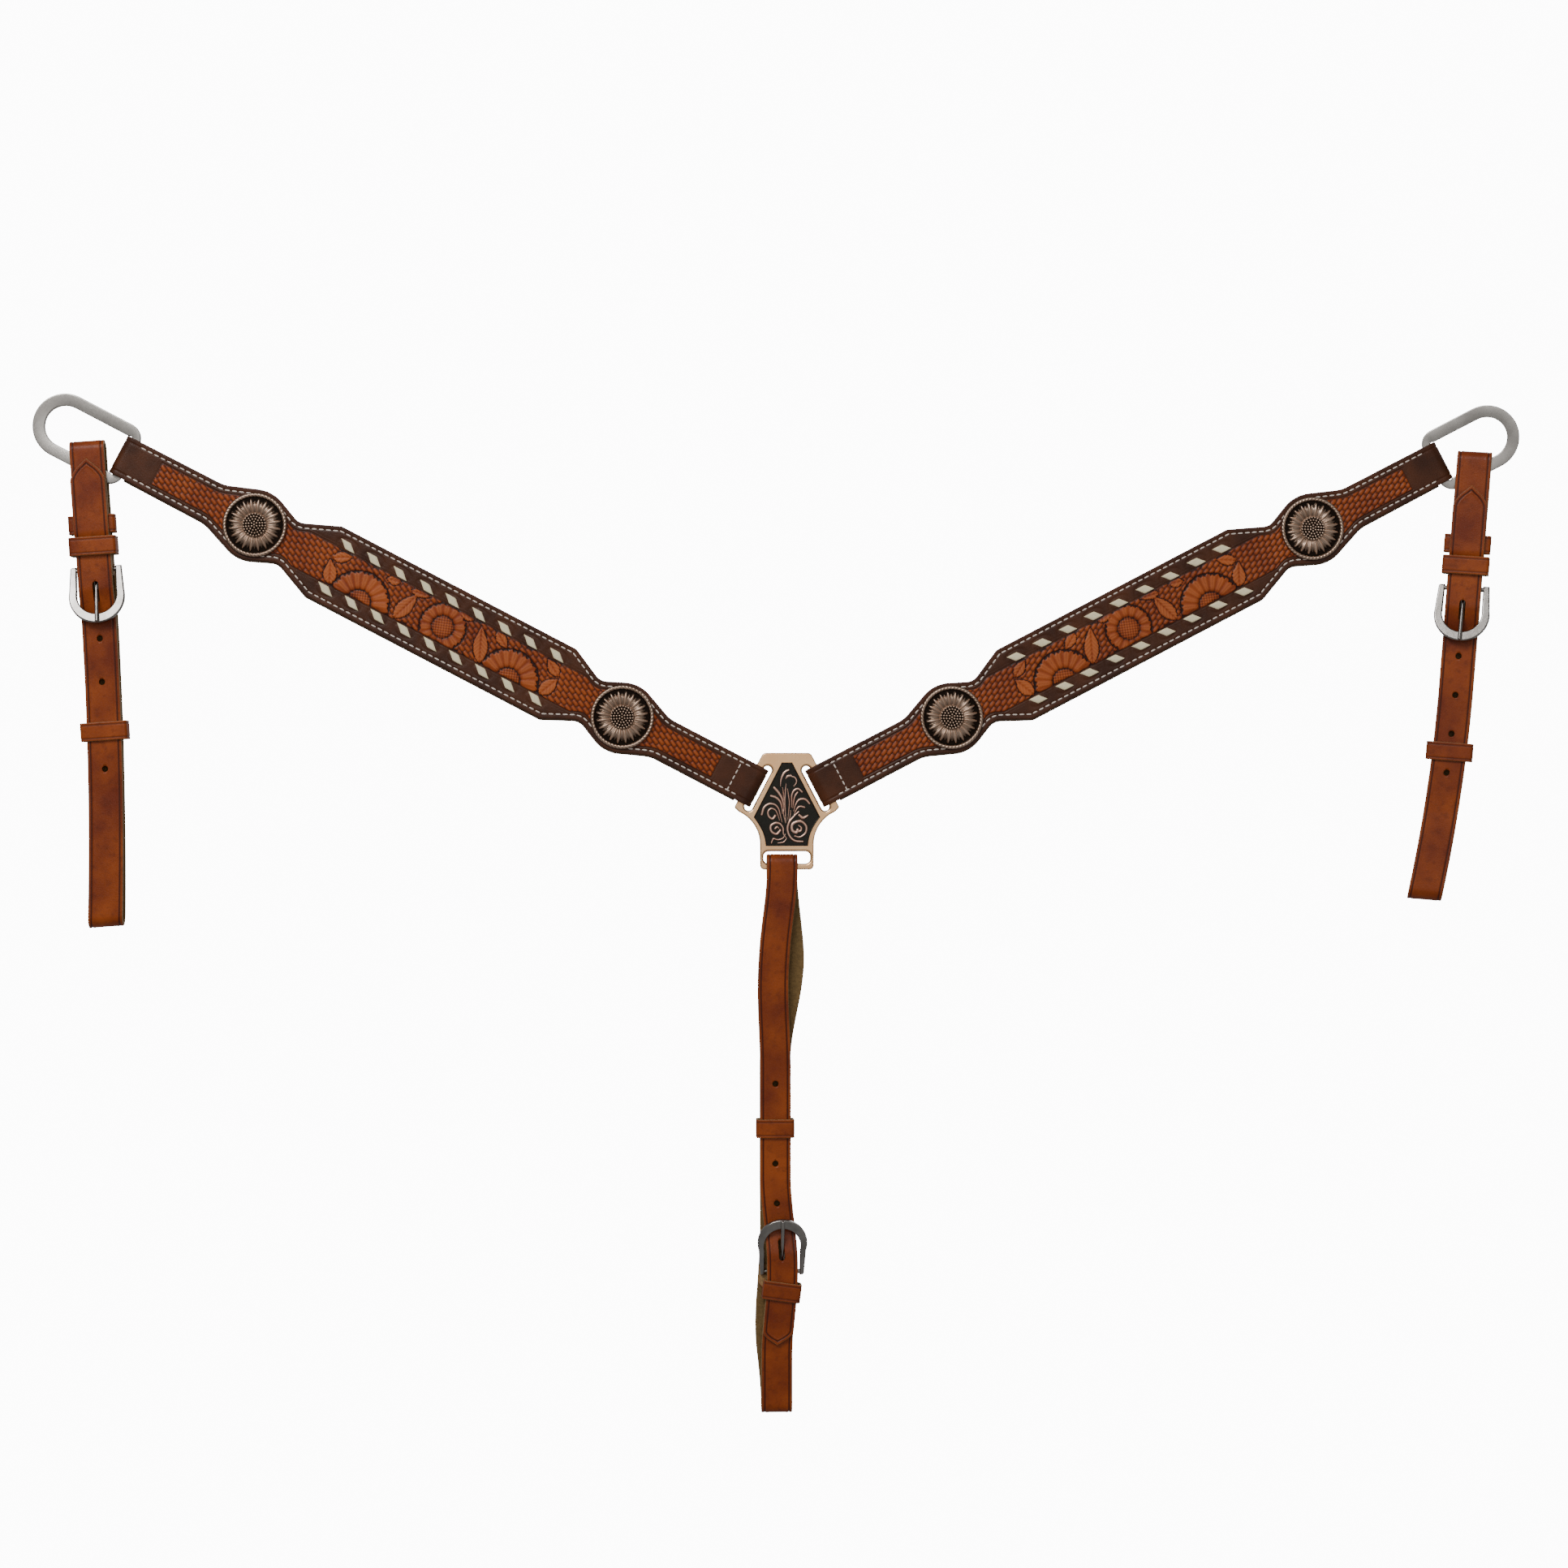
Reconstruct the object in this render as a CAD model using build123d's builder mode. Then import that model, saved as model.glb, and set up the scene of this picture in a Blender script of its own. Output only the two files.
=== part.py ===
from build123d import *
import os
from math import asin, atan2, cos, hypot, radians, sin, tan

os.makedirs("parts", exist_ok=True)

# ---------------------------------------------------------------------------
# Western breast collar, hanging as it is worn: +X to the wearer's view right, +Z up,
# +Y towards the horse's chest. The origin is the middle of the yoke plate's back face.
# Sizes are in millimetres.
# ---------------------------------------------------------------------------

# Yoke plate
PLATE_THICKNESS = 4.0
STRAP_RISE = 27.6  # degrees the shoulder straps climb from the yoke
YOKE_BAR = 25.1  # from the origin to the bar each shoulder strap folds round
BAR_WIDTH = 4.9
SLOT_WIDTH = 5.2
SLOT_LENGTH = 30.4
PLATE_TOP = 31.2
PLATE_BOTTOM = -40.7
BOTTOM_BAR = 3.7
BOTTOM_SLOT = (28.8, 7.4)
EDGE_ROUND = 0.9
SLOT_ROUND = 1.4
INSERT_DEPTH = 1.5

# Shoulder straps, measured along each strap from the origin
DEE_BAR = 455.0
FACE_LEATHER = 3.0
LINING_LEATHER = 2.5
FOLD_INNER = 3.0  # inside radius of the leather round a bar
TURNBACK = 35.0
CONCHO_PLACES = (114.3, 366.8)
HALF_STRAP = 12.7
HALF_DEE_END = 12.4
HALF_BODY = 24.0
SWELL = 21.7
SWELL_CREST = 1.8  # the outline's corner stands this far over the swell it is rounded to
BODY_SPAN = (158.3, 319.6)
INNER_NECKS = ((-26.3, 12.7), (22.2, 13.4))  # from the inner concho: along, half width
OUTER_NECKS = ((-22.8, 13.6), (27.7, 13.0))
OUTLINE_ROUNDS = (20, SWELL, 9, 2.5, 2.5, 9, SWELL, 20)

# Buckstitched lace rows
LACE_FIRST = 167.0
LACE_PITCH = 18.0
LACE_COUNT = 9
LACE_ROW = 14.9
LACE_SHOW = 7.2
LACE_THICKNESS = 1.2
LACE_SLANT = {"left": (5.0, 4.9), "right": (4.1, -4.9)}  # slit from edge to edge: along, up

# Conchos
CONCHO_RADIUS = 19.5
POST_RADIUS = 2.4
SCREW_RADIUS = 1.6

# Dees
DEE_BAND = 6.0
DEE_THICKNESS = 4.2
DEE_BAR_WIDTH = 5.4
DEE_HALF_OPENING = 13.2
DEE_REACH = {"left": 42.0, "right": 35.0}  # from the bar to the centre of the round end
DEE_TILT = {"left": 0.0, "right": 14.0}  # degrees forward of the strap's plane

# Buckled straps: two tugs and the girth strap
STRAP_LEATHER = 2.6
TUG_WIDTH = 21.0
GIRTH_WIDTH = 19.0
RUN_DEPTH = 4.7  # from a strap's middle plane to the middle of its leather
KEEPER_LEATHER = 1.5
KEEPER_HEIGHT = 11.4
FIRST_HOLE = -42.0  # from the heel bar
TUG_ON_DEE = {"left": 17.4, "right": 18.0}  # from the dee's bar to the middle of the tug
TUG_LEAN = {"left": 4.1, "right": 4.5}
GIRTH_OFFSET = -3.0

# Buckles
HEEL_RADIUS = 1.4
HEEL_DEPTH = 1.8  # heel bar, forward of the strap's middle plane
FRAME_THICKNESS = 3.0
FRAME_TILT = 14.5
FRAME_SWELL = 1.2  # each side of the frame spreads this much below the heel bar
FRAME_ROUND = 0.88
TONGUE_RADIUS = 1.2
TONGUE_TILT = 20.5
TONGUE_LENGTH = 34.5
PIVOT_CLEARANCE = 0.08

FRONT = Vector(0, -1, 0)
UP = Vector(0, 0, 1)
MIDDLE = Vector(0, -PLATE_THICKNESS / 2, 0)
FOLD_MIDDLE = FOLD_INNER + FACE_LEATHER / 2
FACE_FRONT = FOLD_INNER + FACE_LEATHER
LINING_BACK = FOLD_INNER - LINING_LEATHER


def save(builder, label):
    builder.part.label = label
    export_step(builder.part, f"parts/{label}.step")


def tangent_slope(along, across, radius):
    """Slope of the line from a point to the far side of a circle that lies (along, across) away."""
    return tan(asin(radius / hypot(along, across)) + atan2(across, along))


def leather_section(corners, thickness):
    """Outline of leather seen from its edge, from its middle line's corners and their bend radii."""
    points = [Vector(*point) for point, _ in corners]
    ways = [(after - before).normalized() for before, after in zip(points, points[1:])]
    lefts = [Vector(-way.Y, way.X) for way in ways]
    ends = []
    with BuildLine() as outline:
        for shift in (thickness / 2, -thickness / 2):
            line = [points[0] + lefts[0] * shift]
            radii = []
            for index in range(1, len(points) - 1):
                before, after = lefts[index - 1], lefts[index]
                line.append(points[index] + (before + after) * (shift / (1 + before.dot(after))))
                turn = ways[index - 1].cross(ways[index]).Z
                radii.append(corners[index][1] - (shift if turn > 0 else -shift))
            line.append(points[-1] + lefts[-1] * shift)
            FilletPolyline(*line, radius=radii)
            ends.append((line[0], line[-1]))
        Line(ends[0][0], ends[1][0])
        Line(ends[0][1], ends[1][1])
    return outline.edges()


def sense(side):
    return 1 if side == "right" else -1


def along_strap(side):
    return Vector(sense(side) * cos(radians(STRAP_RISE)), 0, sin(radians(STRAP_RISE)))


def across_strap(side):
    return Vector(-sense(side) * sin(radians(STRAP_RISE)), 0, cos(radians(STRAP_RISE)))


def face_plane(side):
    """Seen from the front: local x runs up the strap, local z is forward."""
    return Plane(origin=MIDDLE, x_dir=along_strap(side), z_dir=FRONT)


def edge_plane(side, height=0.0):
    """Seen from the strap's edge: local x runs up the strap, local y is forward."""
    along = along_strap(side)
    return Plane(origin=MIDDLE + across_strap(side) * height, x_dir=along, z_dir=along.cross(FRONT))


# ---------------------------------------------------------------------------
# Yoke plate and its engraved insert
# ---------------------------------------------------------------------------
PLATE_MIDDLE = Plane(origin=MIDDLE, x_dir=(1, 0, 0), z_dir=FRONT)


def insert_outline(gap=0.0):
    """Coffin-shaped panel with hollow lower flanks."""
    with BuildLine() as outline:
        Polyline((0, 25.2 + gap), (3.2 + gap, 25.2 + gap), (20.5 + gap, -8.5))
        ThreePointArc((20.5 + gap, -8.5), (15.9 + gap, -16.8), (13.0 + gap, -26.2 - gap))
        Line((13.0 + gap, -26.2 - gap), (0, -26.2 - gap))
        mirror(about=Plane.YZ)
    return outline.edges()


with BuildPart() as yoke_plate:
    with BuildSketch(PLATE_MIDDLE):
        with BuildLine():
            FilletPolyline((0, PLATE_TOP), (14.6, PLATE_TOP), (32.5, -2.4), (29.6, -5.2), radius=(3, 1.5))
            ThreePointArc((29.6, -5.2), (20.6, -12.6), (16.6, -26.0))
            FilletPolyline((16.6, -26.0), (16.4, PLATE_BOTTOM), (0, PLATE_BOTTOM), radius=(2.5,))
            mirror(about=Plane.YZ)
        make_face()
        for tilt in (STRAP_RISE, 180 - STRAP_RISE):
            slot_place = YOKE_BAR - BAR_WIDTH / 2 - SLOT_WIDTH / 2
            with Locations((slot_place * cos(radians(tilt)), slot_place * sin(radians(tilt)))):
                SlotOverall(SLOT_LENGTH, SLOT_WIDTH, rotation=tilt + 90, mode=Mode.SUBTRACT)
        with Locations((0, PLATE_BOTTOM + BOTTOM_BAR + BOTTOM_SLOT[1] / 2)):
            RectangleRounded(*BOTTOM_SLOT, 3.0, mode=Mode.SUBTRACT)
    extrude(amount=PLATE_THICKNESS / 2, both=True)
    for rim_round, inside in ((SLOT_ROUND, True), (EDGE_ROUND, False)):
        flats = yoke_plate.faces().filter_by(Axis.Y)
        wires = [wire for flat in flats for wire in (flat.inner_wires() if inside else [flat.outer_wire()])]
        fillet([edge for wire in wires for edge in wire.edges()], rim_round)
    with BuildSketch(PLATE_MIDDLE.offset(PLATE_THICKNESS / 2 - INSERT_DEPTH)):
        make_face(insert_outline(gap=0.1))
    extrude(amount=INSERT_DEPTH, mode=Mode.SUBTRACT)
save(yoke_plate, "yoke_plate")

with BuildPart() as yoke_insert:
    with BuildSketch(PLATE_MIDDLE.offset(PLATE_THICKNESS / 2 - INSERT_DEPTH)):
        make_face(insert_outline())
    extrude(amount=INSERT_DEPTH)
save(yoke_insert, "yoke_insert")


# ---------------------------------------------------------------------------
# Shoulder straps: tooled face leather folded round both bars, over a plain lining
# ---------------------------------------------------------------------------
def shoulder_outline(start, end):
    """Narrow ends, a round swell under each concho, and a wide cut-cornered body."""
    corners = [(start, HALF_STRAP)]
    for concho_place, necks in zip(CONCHO_PLACES, (INNER_NECKS, OUTER_NECKS)):
        (before, before_half), (after, after_half) = necks
        corners.append((concho_place + before, before_half))
        corners.append((concho_place, SWELL + SWELL_CREST))
        corners.append((concho_place + after, after_half))
    corners[4:4] = [(place, HALF_BODY) for place in BODY_SPAN]
    corners.append((end, HALF_DEE_END))
    with BuildLine() as outline:
        FilletPolyline(*corners, radius=OUTLINE_ROUNDS)
        mirror(about=Plane.XZ)
        Line((start, -HALF_STRAP), (start, HALF_STRAP))
        Line((end, -HALF_DEE_END), (end, HALF_DEE_END))
    return outline.edges()


def turned_end(bar, way):
    """Middle line of the face leather round a bar and back along the lining."""
    knee = 16.0
    tail = LINING_BACK - FACE_LEATHER / 2
    slope = tangent_slope(knee, tail, FOLD_MIDDLE)
    return [
        ((bar + way * TURNBACK, tail), 0),
        ((bar + way * knee, tail), 20),
        ((bar - way * FOLD_MIDDLE, tail - (knee + FOLD_MIDDLE) * slope), FOLD_MIDDLE - 0.05),
        ((bar - way * FOLD_MIDDLE, FOLD_MIDDLE), FOLD_MIDDLE - 0.05),
        ((bar + way * FOLD_MIDDLE, FOLD_MIDDLE), 0),
    ]


def lace(side, row):
    """One strip of rawhide in and out of slanted slits along the row."""
    slant_along, slant_up = LACE_SLANT[side]
    start_height = row - slant_up / 2
    slit = along_strap(side) * slant_along + across_strap(side) * slant_up
    face_middle = FOLD_INNER + (FACE_LEATHER + LACE_THICKNESS) / 2
    with BuildPart() as strip:
        with BuildSketch(edge_plane(side, start_height)):
            for index in range(LACE_COUNT):
                place = LACE_FIRST + LACE_PITCH * index - slant_along / 2
                with Locations((place, FACE_FRONT + LACE_THICKNESS / 2)):
                    Rectangle(LACE_SHOW, LACE_THICKNESS)
                leg = (LACE_SHOW - LACE_THICKNESS) / 2
                with Locations((place - leg, face_middle), (place + leg, face_middle)):
                    Rectangle(LACE_THICKNESS, FACE_LEATHER + LACE_THICKNESS)
                if index < LACE_COUNT - 1:
                    with Locations((place + LACE_PITCH / 2, FOLD_INNER + LACE_THICKNESS / 2)):
                        Rectangle(LACE_PITCH - 2 * leg, LACE_THICKNESS)
        extrude(amount=slit.length, dir=slit.normalized())
    return strip


def shoulder_face(side, laces):
    with BuildPart() as face:
        with BuildSketch(face_plane(side).offset(FOLD_INNER)):
            make_face(shoulder_outline(YOKE_BAR, DEE_BAR))
        extrude(amount=FACE_LEATHER)
        for bar, way, half_width in ((YOKE_BAR, 1, HALF_STRAP), (DEE_BAR, -1, HALF_DEE_END)):
            with BuildSketch(edge_plane(side)):
                make_face(leather_section(turned_end(bar, way), FACE_LEATHER))
            extrude(amount=half_width, both=True)
        with BuildSketch(face_plane(side).offset(FOLD_INNER)):
            with Locations(*[(place, 0) for place in CONCHO_PLACES]):
                Circle(POST_RADIUS + 0.1)
        extrude(amount=FACE_LEATHER, mode=Mode.SUBTRACT)
        for strip in laces:
            add(strip.part, mode=Mode.SUBTRACT)
    return face


def shoulder_lining(side):
    with BuildPart() as lining:
        with BuildSketch(face_plane(side).offset(LINING_BACK)):
            make_face(shoulder_outline(YOKE_BAR + 5.0, DEE_BAR - 5.0))
            with Locations(*[(place, 0) for place in CONCHO_PLACES]):
                Circle(POST_RADIUS + 0.1, mode=Mode.SUBTRACT)
        extrude(amount=LINING_LEATHER)
    return lining


def concho(side, place):
    """Cast flower disc: raised rim, petal ring, seed dome and a tapped post behind."""
    with BuildPart() as disc:
        with BuildSketch(edge_plane(side)):
            with Locations((place, FACE_FRONT)):
                with BuildLine(mode=Mode.PRIVATE) as profile:
                    ThreePointArc((0, 4.0), (4.2, 3.4), (7.6, 2.0))
                    ThreePointArc((7.6, 2.0), (12.2, 2.9), (16.4, 1.2))
                    Line((16.4, 1.2), (17.1, 1.2))
                    ThreePointArc((17.1, 1.2), (18.3, 2.6), (CONCHO_RADIUS, 1.2))
                    Polyline((CONCHO_RADIUS, 1.2), (CONCHO_RADIUS, 0), (POST_RADIUS, 0), (POST_RADIUS, -5.2))
                    Polyline((POST_RADIUS, -5.2), (SCREW_RADIUS + 0.05, -5.2), (SCREW_RADIUS + 0.05, -0.6))
                    Polyline((SCREW_RADIUS + 0.05, -0.6), (0, -0.6), (0, 4.0))
                add(make_face(profile.edges(), mode=Mode.PRIVATE))
        centre = MIDDLE + along_strap(side) * place
        revolve(axis=Axis(centre, FRONT))
    return disc


def concho_screw(side, place):
    with BuildPart() as screw:
        with BuildSketch(face_plane(side).offset(LINING_BACK)):
            with Locations((place, 0)):
                Circle(5.2)
        extrude(amount=-1.5)
        fillet(screw.edges().filter_by(GeomType.CIRCLE).sort_by(Axis.Y)[-1], 0.9)
        with BuildSketch(face_plane(side).offset(LINING_BACK)):
            with Locations((place, 0)):
                Circle(SCREW_RADIUS)
        extrude(amount=4.6)
        with BuildSketch(face_plane(side).offset(LINING_BACK - 1.5)):
            with Locations((place, 0)):
                Rectangle(7.0, 1.0, rotation=20)
        extrude(amount=0.6, mode=Mode.SUBTRACT)
    return screw


# ---------------------------------------------------------------------------
# Dees: flat band with a straight bar in the strap's end and a round far end
# ---------------------------------------------------------------------------
def dee_plane(side):
    flat = face_plane(side)
    tilt = radians(DEE_TILT[side])
    reach = flat.x_dir * cos(tilt) + flat.z_dir * sin(tilt)
    return Plane(
        origin=flat.from_local_coords(Vector(DEE_BAR, 0, 0)),
        x_dir=reach,
        z_dir=flat.z_dir * cos(tilt) - flat.x_dir * sin(tilt),
    )


def dee(side):
    outer = DEE_HALF_OPENING + DEE_BAND
    centre = DEE_REACH[side]
    with BuildPart() as ring:
        with BuildSketch(dee_plane(side)):
            with BuildLine():
                back = -DEE_BAR_WIDTH / 2
                FilletPolyline((centre, -outer), (back, -outer), (back, outer), (centre, outer), radius=(7, 7))
                ThreePointArc((centre, outer), (centre + outer, 0), (centre, -outer))
            make_face()
            with BuildLine():
                front, half = DEE_BAR_WIDTH / 2, DEE_HALF_OPENING
                FilletPolyline((centre, -half), (front, -half), (front, half), (centre, half), radius=(1, 1))
                ThreePointArc((centre, half), (centre + half, 0), (centre, -half))
            make_face(mode=Mode.SUBTRACT)
        extrude(amount=DEE_THICKNESS / 2, both=True)
        flats = ring.faces().filter_by(Axis(MIDDLE, dee_plane(side).z_dir))
        fillet(flats.edges(), 1.9)
    return ring


# ---------------------------------------------------------------------------
# Buckled straps. Local x is across the strap, local y runs towards the fold next to
# the buckle's heel bar, and local z is forward.
# ---------------------------------------------------------------------------
def tug_plane(side):
    """Hangs on the dee's lower side, turned with it and leaning a little inwards."""
    ring = dee_plane(side)
    lower = -sense(side) * (DEE_HALF_OPENING + DEE_BAND / 2)
    level = Vector(ring.x_dir.X, ring.x_dir.Y, 0).normalized() * sense(side)
    lean = radians(TUG_LEAN[side]) * sense(side)
    across = level * cos(lean) - UP * sin(lean)
    along = UP * cos(lean) + level * sin(lean)
    return Plane(
        origin=ring.from_local_coords(Vector(TUG_ON_DEE[side], lower, 0)),
        x_dir=across,
        z_dir=across.cross(along),
    )


def girth_plane():
    bar_middle = PLATE_BOTTOM + BOTTOM_BAR / 2
    return Plane(origin=MIDDLE + Vector(GIRTH_OFFSET, 0, bar_middle), x_dir=(-1, 0, 0), z_dir=FRONT)


# Each strap's places along local y, measured from its bar, but its keeper's from the heel bar
STRAPS = {
    "left_tug": {
        "plane": tug_plane("left"),
        "width": TUG_WIDTH,
        "near": 14.4,
        "heel": -62.1,
        "far": (-278.5, 5.5),
        "tip": 5.3,
        "keeper": -98.5,
        "pitch": 26.5,
        "arm": 5.0,
    },
    "right_tug": {
        "plane": tug_plane("right"),
        "width": TUG_WIDTH,
        "near": 11.2,
        "heel": -71.6,
        "far": (-264.8, 5.5),
        "tip": -8.1,
        "keeper": -101.4,
        "pitch": 24.2,
        "arm": 5.0,
    },
    "girth": {
        "plane": girth_plane(),
        "width": GIRTH_WIDTH,
        "near": 334.7,
        "heel": 249.0,
        "far": (-6.35, 4.4),
        "tip": 293.5,
        "keeper": -88.0,
        "pitch": 24.5,
        "arm": 3.9,
    },
}
SEWN_GAP = 0.15
FOLD_FLAT = 0.4  # half the flat at the crest of a loose fold
RUN_NARROW = 3.2  # half the distance between the runs where the sliding keeper holds them
SEWN_KEEPERS = (14.2, 27.5)
TONGUE_HOLE = -13.8
BILLET_DEPTH = 7.6
BILLET_OVER_KEEPER = 9.35


def strap_line(strap):
    """Middle line of the leather, from the chape's turned end to the billet's tip."""
    heel, near, tip = strap["heel"], strap["near"], strap["tip"]
    far, far_depth = strap["far"]
    held = heel + strap["keeper"]
    wrap = RUN_DEPTH - HEEL_DEPTH
    turned = RUN_DEPTH - STRAP_LEATHER - SEWN_GAP
    knee = 13.0
    slope = tangent_slope(knee, turned - HEEL_DEPTH, wrap)
    corners = [
        ((turned, heel + 34), 0),
        ((turned, heel + knee), 10),
        ((turned - (knee + wrap) * slope, heel - wrap), wrap - 0.1),
        ((RUN_DEPTH, heel - wrap), wrap - 0.1),
        ((RUN_DEPTH, near), RUN_DEPTH - FOLD_FLAT),
        ((-RUN_DEPTH, near), RUN_DEPTH - FOLD_FLAT),
        ((-RUN_NARROW, held + 28), 150),
        ((-RUN_NARROW, held - 38), 60),
        ((-far_depth, far), far_depth - FOLD_FLAT),
        ((far_depth, far), far_depth - FOLD_FLAT),
        ((RUN_NARROW, held - 38), 60),
        ((RUN_NARROW, held + 28), 60),
        ((3.6, heel - 28), 25),
        ((BILLET_DEPTH, heel - 12), 12),
    ]
    if strap["width"] == TUG_WIDTH:
        corners += [
            ((BILLET_DEPTH, heel + 16.5), 8),
            ((BILLET_OVER_KEEPER, heel + 22.5), 8),
            ((BILLET_OVER_KEEPER, tip), 0),
        ]
    else:
        corners += [((BILLET_DEPTH, tip), 0)]
    return corners


def side_plane(plane, along=0.0):
    """The strap seen from its edge: local x is forward, local y runs along the strap."""
    return Plane(origin=plane.origin + plane.y_dir * along, x_dir=plane.z_dir, z_dir=plane.z_dir.cross(plane.y_dir))


def cross_plane(plane, along):
    """The strap cut across: local x is across the strap, local y is forward."""
    return Plane(origin=plane.origin + plane.y_dir * along, x_dir=plane.x_dir, z_dir=-plane.y_dir)


def buckled_strap(strap):
    plane, width, heel, tip = strap["plane"], strap["width"], strap["heel"], strap["tip"]
    with BuildPart() as leather:
        with BuildSketch(side_plane(plane)):
            make_face(leather_section(strap_line(strap), STRAP_LEATHER))
        extrude(amount=width / 2, both=True)
        # punched holes through the front run, the sliding keeper covering one of them
        with BuildSketch(plane):
            with Locations(*[(0, heel + FIRST_HOLE - strap["pitch"] * step) for step in range(4)]):
                Circle(1.9)
            with Locations((0, heel + TONGUE_HOLE)):
                SlotOverall(13.0, 3.8, rotation=90)
        extrude(amount=12.0, mode=Mode.SUBTRACT)
        # slot in the chape's fold, where the tongue grips the heel bar
        with BuildSketch(plane.offset(-3.0)):
            with Locations((0, heel + 1.5)):
                Rectangle(4.4, 13.0)
        extrude(amount=9.1, mode=Mode.SUBTRACT)
        # billet's tip, trimmed to an arch
        with BuildSketch(plane.offset(6.15)):
            with Locations((0, tip - 6)):
                Rectangle(width + 2, 14)
            with BuildLine():
                point = 14.0 if strap["width"] == TUG_WIDTH else 9.0
                ThreePointArc((-width / 2, tip - point), (-width / 3.4, tip - point * 0.40), (0, tip))
                ThreePointArc((0, tip), (width / 3.4, tip - point * 0.40), (width / 2, tip - point))
                Line((width / 2, tip - point), (width / 2, tip - 20))
                Line((width / 2, tip - 20), (-width / 2, tip - 20))
                Line((-width / 2, tip - 20), (-width / 2, tip - point))
            make_face(mode=Mode.SUBTRACT)
        extrude(amount=6.0, mode=Mode.SUBTRACT)
    return leather


def heel_plane(strap, tilt):
    """At the heel bar, leaning forward: local y runs from the curved end to the heel bar."""
    plane, lean = strap["plane"], radians(tilt)
    return Plane(
        origin=plane.from_local_coords(Vector(0, strap["heel"], HEEL_DEPTH)),
        x_dir=plane.x_dir,
        z_dir=plane.z_dir * cos(lean) + plane.y_dir * sin(lean),
    )


def buckle_frame(strap):
    """Horseshoe frame with a round heel bar."""
    plane = heel_plane(strap, FRAME_TILT)
    half = strap["width"] / 2
    heel_half = half + strap["arm"]
    widest = heel_half + FRAME_SWELL
    with BuildPart() as frame:
        with BuildSketch(plane):
            with BuildLine():
                Line((heel_half, 2.0), (widest, -14.0))
                ThreePointArc((widest, -14.0), (0, -34.0), (-widest, -14.0))
                FilletPolyline((-widest, -14.0), (-heel_half, 2.0), (heel_half, 2.0), radius=(1.5,))
            make_face()
            with BuildLine():
                Line((half + 1.1, 3.0), (half + 1.3, -14.0))
                ThreePointArc((half + 1.3, -14.0), (0, -28.0), (-half - 1.3, -14.0))
                Polyline((-half - 1.3, -14.0), (-half - 1.1, 3.0), (half + 1.1, 3.0))
            make_face(mode=Mode.SUBTRACT)
        extrude(amount=FRAME_THICKNESS / 2, both=True)
        fillet(frame.faces().filter_by(Axis(plane.origin, plane.z_dir)).edges(), FRAME_ROUND)
        with BuildSketch(Plane(origin=plane.origin, x_dir=plane.y_dir, z_dir=plane.x_dir)):
            Circle(HEEL_RADIUS)
        extrude(amount=heel_half - 1.2, both=True)
    return frame


def buckle_tongue(strap):
    """Round prong with an eye that turns on the heel bar."""
    plane = heel_plane(strap, TONGUE_TILT)
    eye_plane = Plane(origin=plane.origin, x_dir=plane.y_dir, z_dir=plane.x_dir)
    eye_bore = HEEL_RADIUS + PIVOT_CLEARANCE
    with BuildPart() as tongue:
        with BuildSketch(cross_plane(plane, -eye_bore)):
            Circle(TONGUE_RADIUS)
        extrude(amount=TONGUE_LENGTH - eye_bore)
        tip_edge = tongue.edges().filter_by(GeomType.CIRCLE).sort_by(Axis(plane.origin, -plane.y_dir))[-1]
        fillet(tip_edge, 0.8)
        with BuildSketch(eye_plane):
            Circle(eye_bore + 1.1)
        extrude(amount=1.6, both=True)
        with BuildSketch(eye_plane):
            Circle(eye_bore)
        extrude(amount=2.0, both=True, mode=Mode.SUBTRACT)
    return tongue


def keeper(strap, along, back, front):
    """Closed leather loop round the strap, with its inside from back to front."""
    inner_width = strap["width"] + 0.8
    depth = front - back
    with BuildPart() as loop:
        with BuildSketch(cross_plane(strap["plane"], strap["heel"] + along)):
            with Locations((0, (front + back) / 2)):
                RectangleRounded(inner_width + 2 * KEEPER_LEATHER, depth + 2 * KEEPER_LEATHER, 2.0)
                RectangleRounded(inner_width, depth, 0.8, mode=Mode.SUBTRACT)
        extrude(amount=KEEPER_HEIGHT / 2, both=True)
    return loop


# ---------------------------------------------------------------------------
# Write the pieces
# ---------------------------------------------------------------------------
for side in ("left", "right"):
    rows = {"lace_top": lace(side, LACE_ROW), "lace_bottom": lace(side, -LACE_ROW)}
    for row, strip in rows.items():
        save(strip, f"{side}_{row}")
    save(shoulder_face(side, rows.values()), f"{side}_shoulder_face")
    save(shoulder_lining(side), f"{side}_shoulder_lining")
    for name, place in zip(("inner", "outer"), CONCHO_PLACES):
        save(concho(side, place), f"{side}_concho_{name}")
        save(concho_screw(side, place), f"{side}_concho_screw_{name}")
    save(dee(side), f"{side}_dee")

CHAPE_BACK = RUN_DEPTH - 1.5 * STRAP_LEATHER - 2 * SEWN_GAP
CHAPE_FRONT = RUN_DEPTH + STRAP_LEATHER / 2 + 0.1
RUN_OUTSIDE = RUN_NARROW + STRAP_LEATHER / 2 + 0.35
for name, strap in STRAPS.items():
    save(buckled_strap(strap), f"{name}_strap")
    save(buckle_frame(strap), f"{name}_buckle")
    save(buckle_tongue(strap), f"{name}_tongue")
    save(keeper(strap, strap["keeper"], -RUN_OUTSIDE, RUN_OUTSIDE), f"{name}_keeper_sliding")
    lower, upper = SEWN_KEEPERS
    fold_back = CHAPE_BACK - 1.4
    billet_front = BILLET_DEPTH + STRAP_LEATHER / 2
    if strap["width"] == TUG_WIDTH:
        save(keeper(strap, lower, fold_back, billet_front + 1.2), f"{name}_keeper_middle")
        save(keeper(strap, upper, CHAPE_BACK, CHAPE_FRONT), f"{name}_keeper_upper")
    else:
        save(keeper(strap, lower, fold_back, billet_front + 0.15), f"{name}_keeper_sewn")
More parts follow.
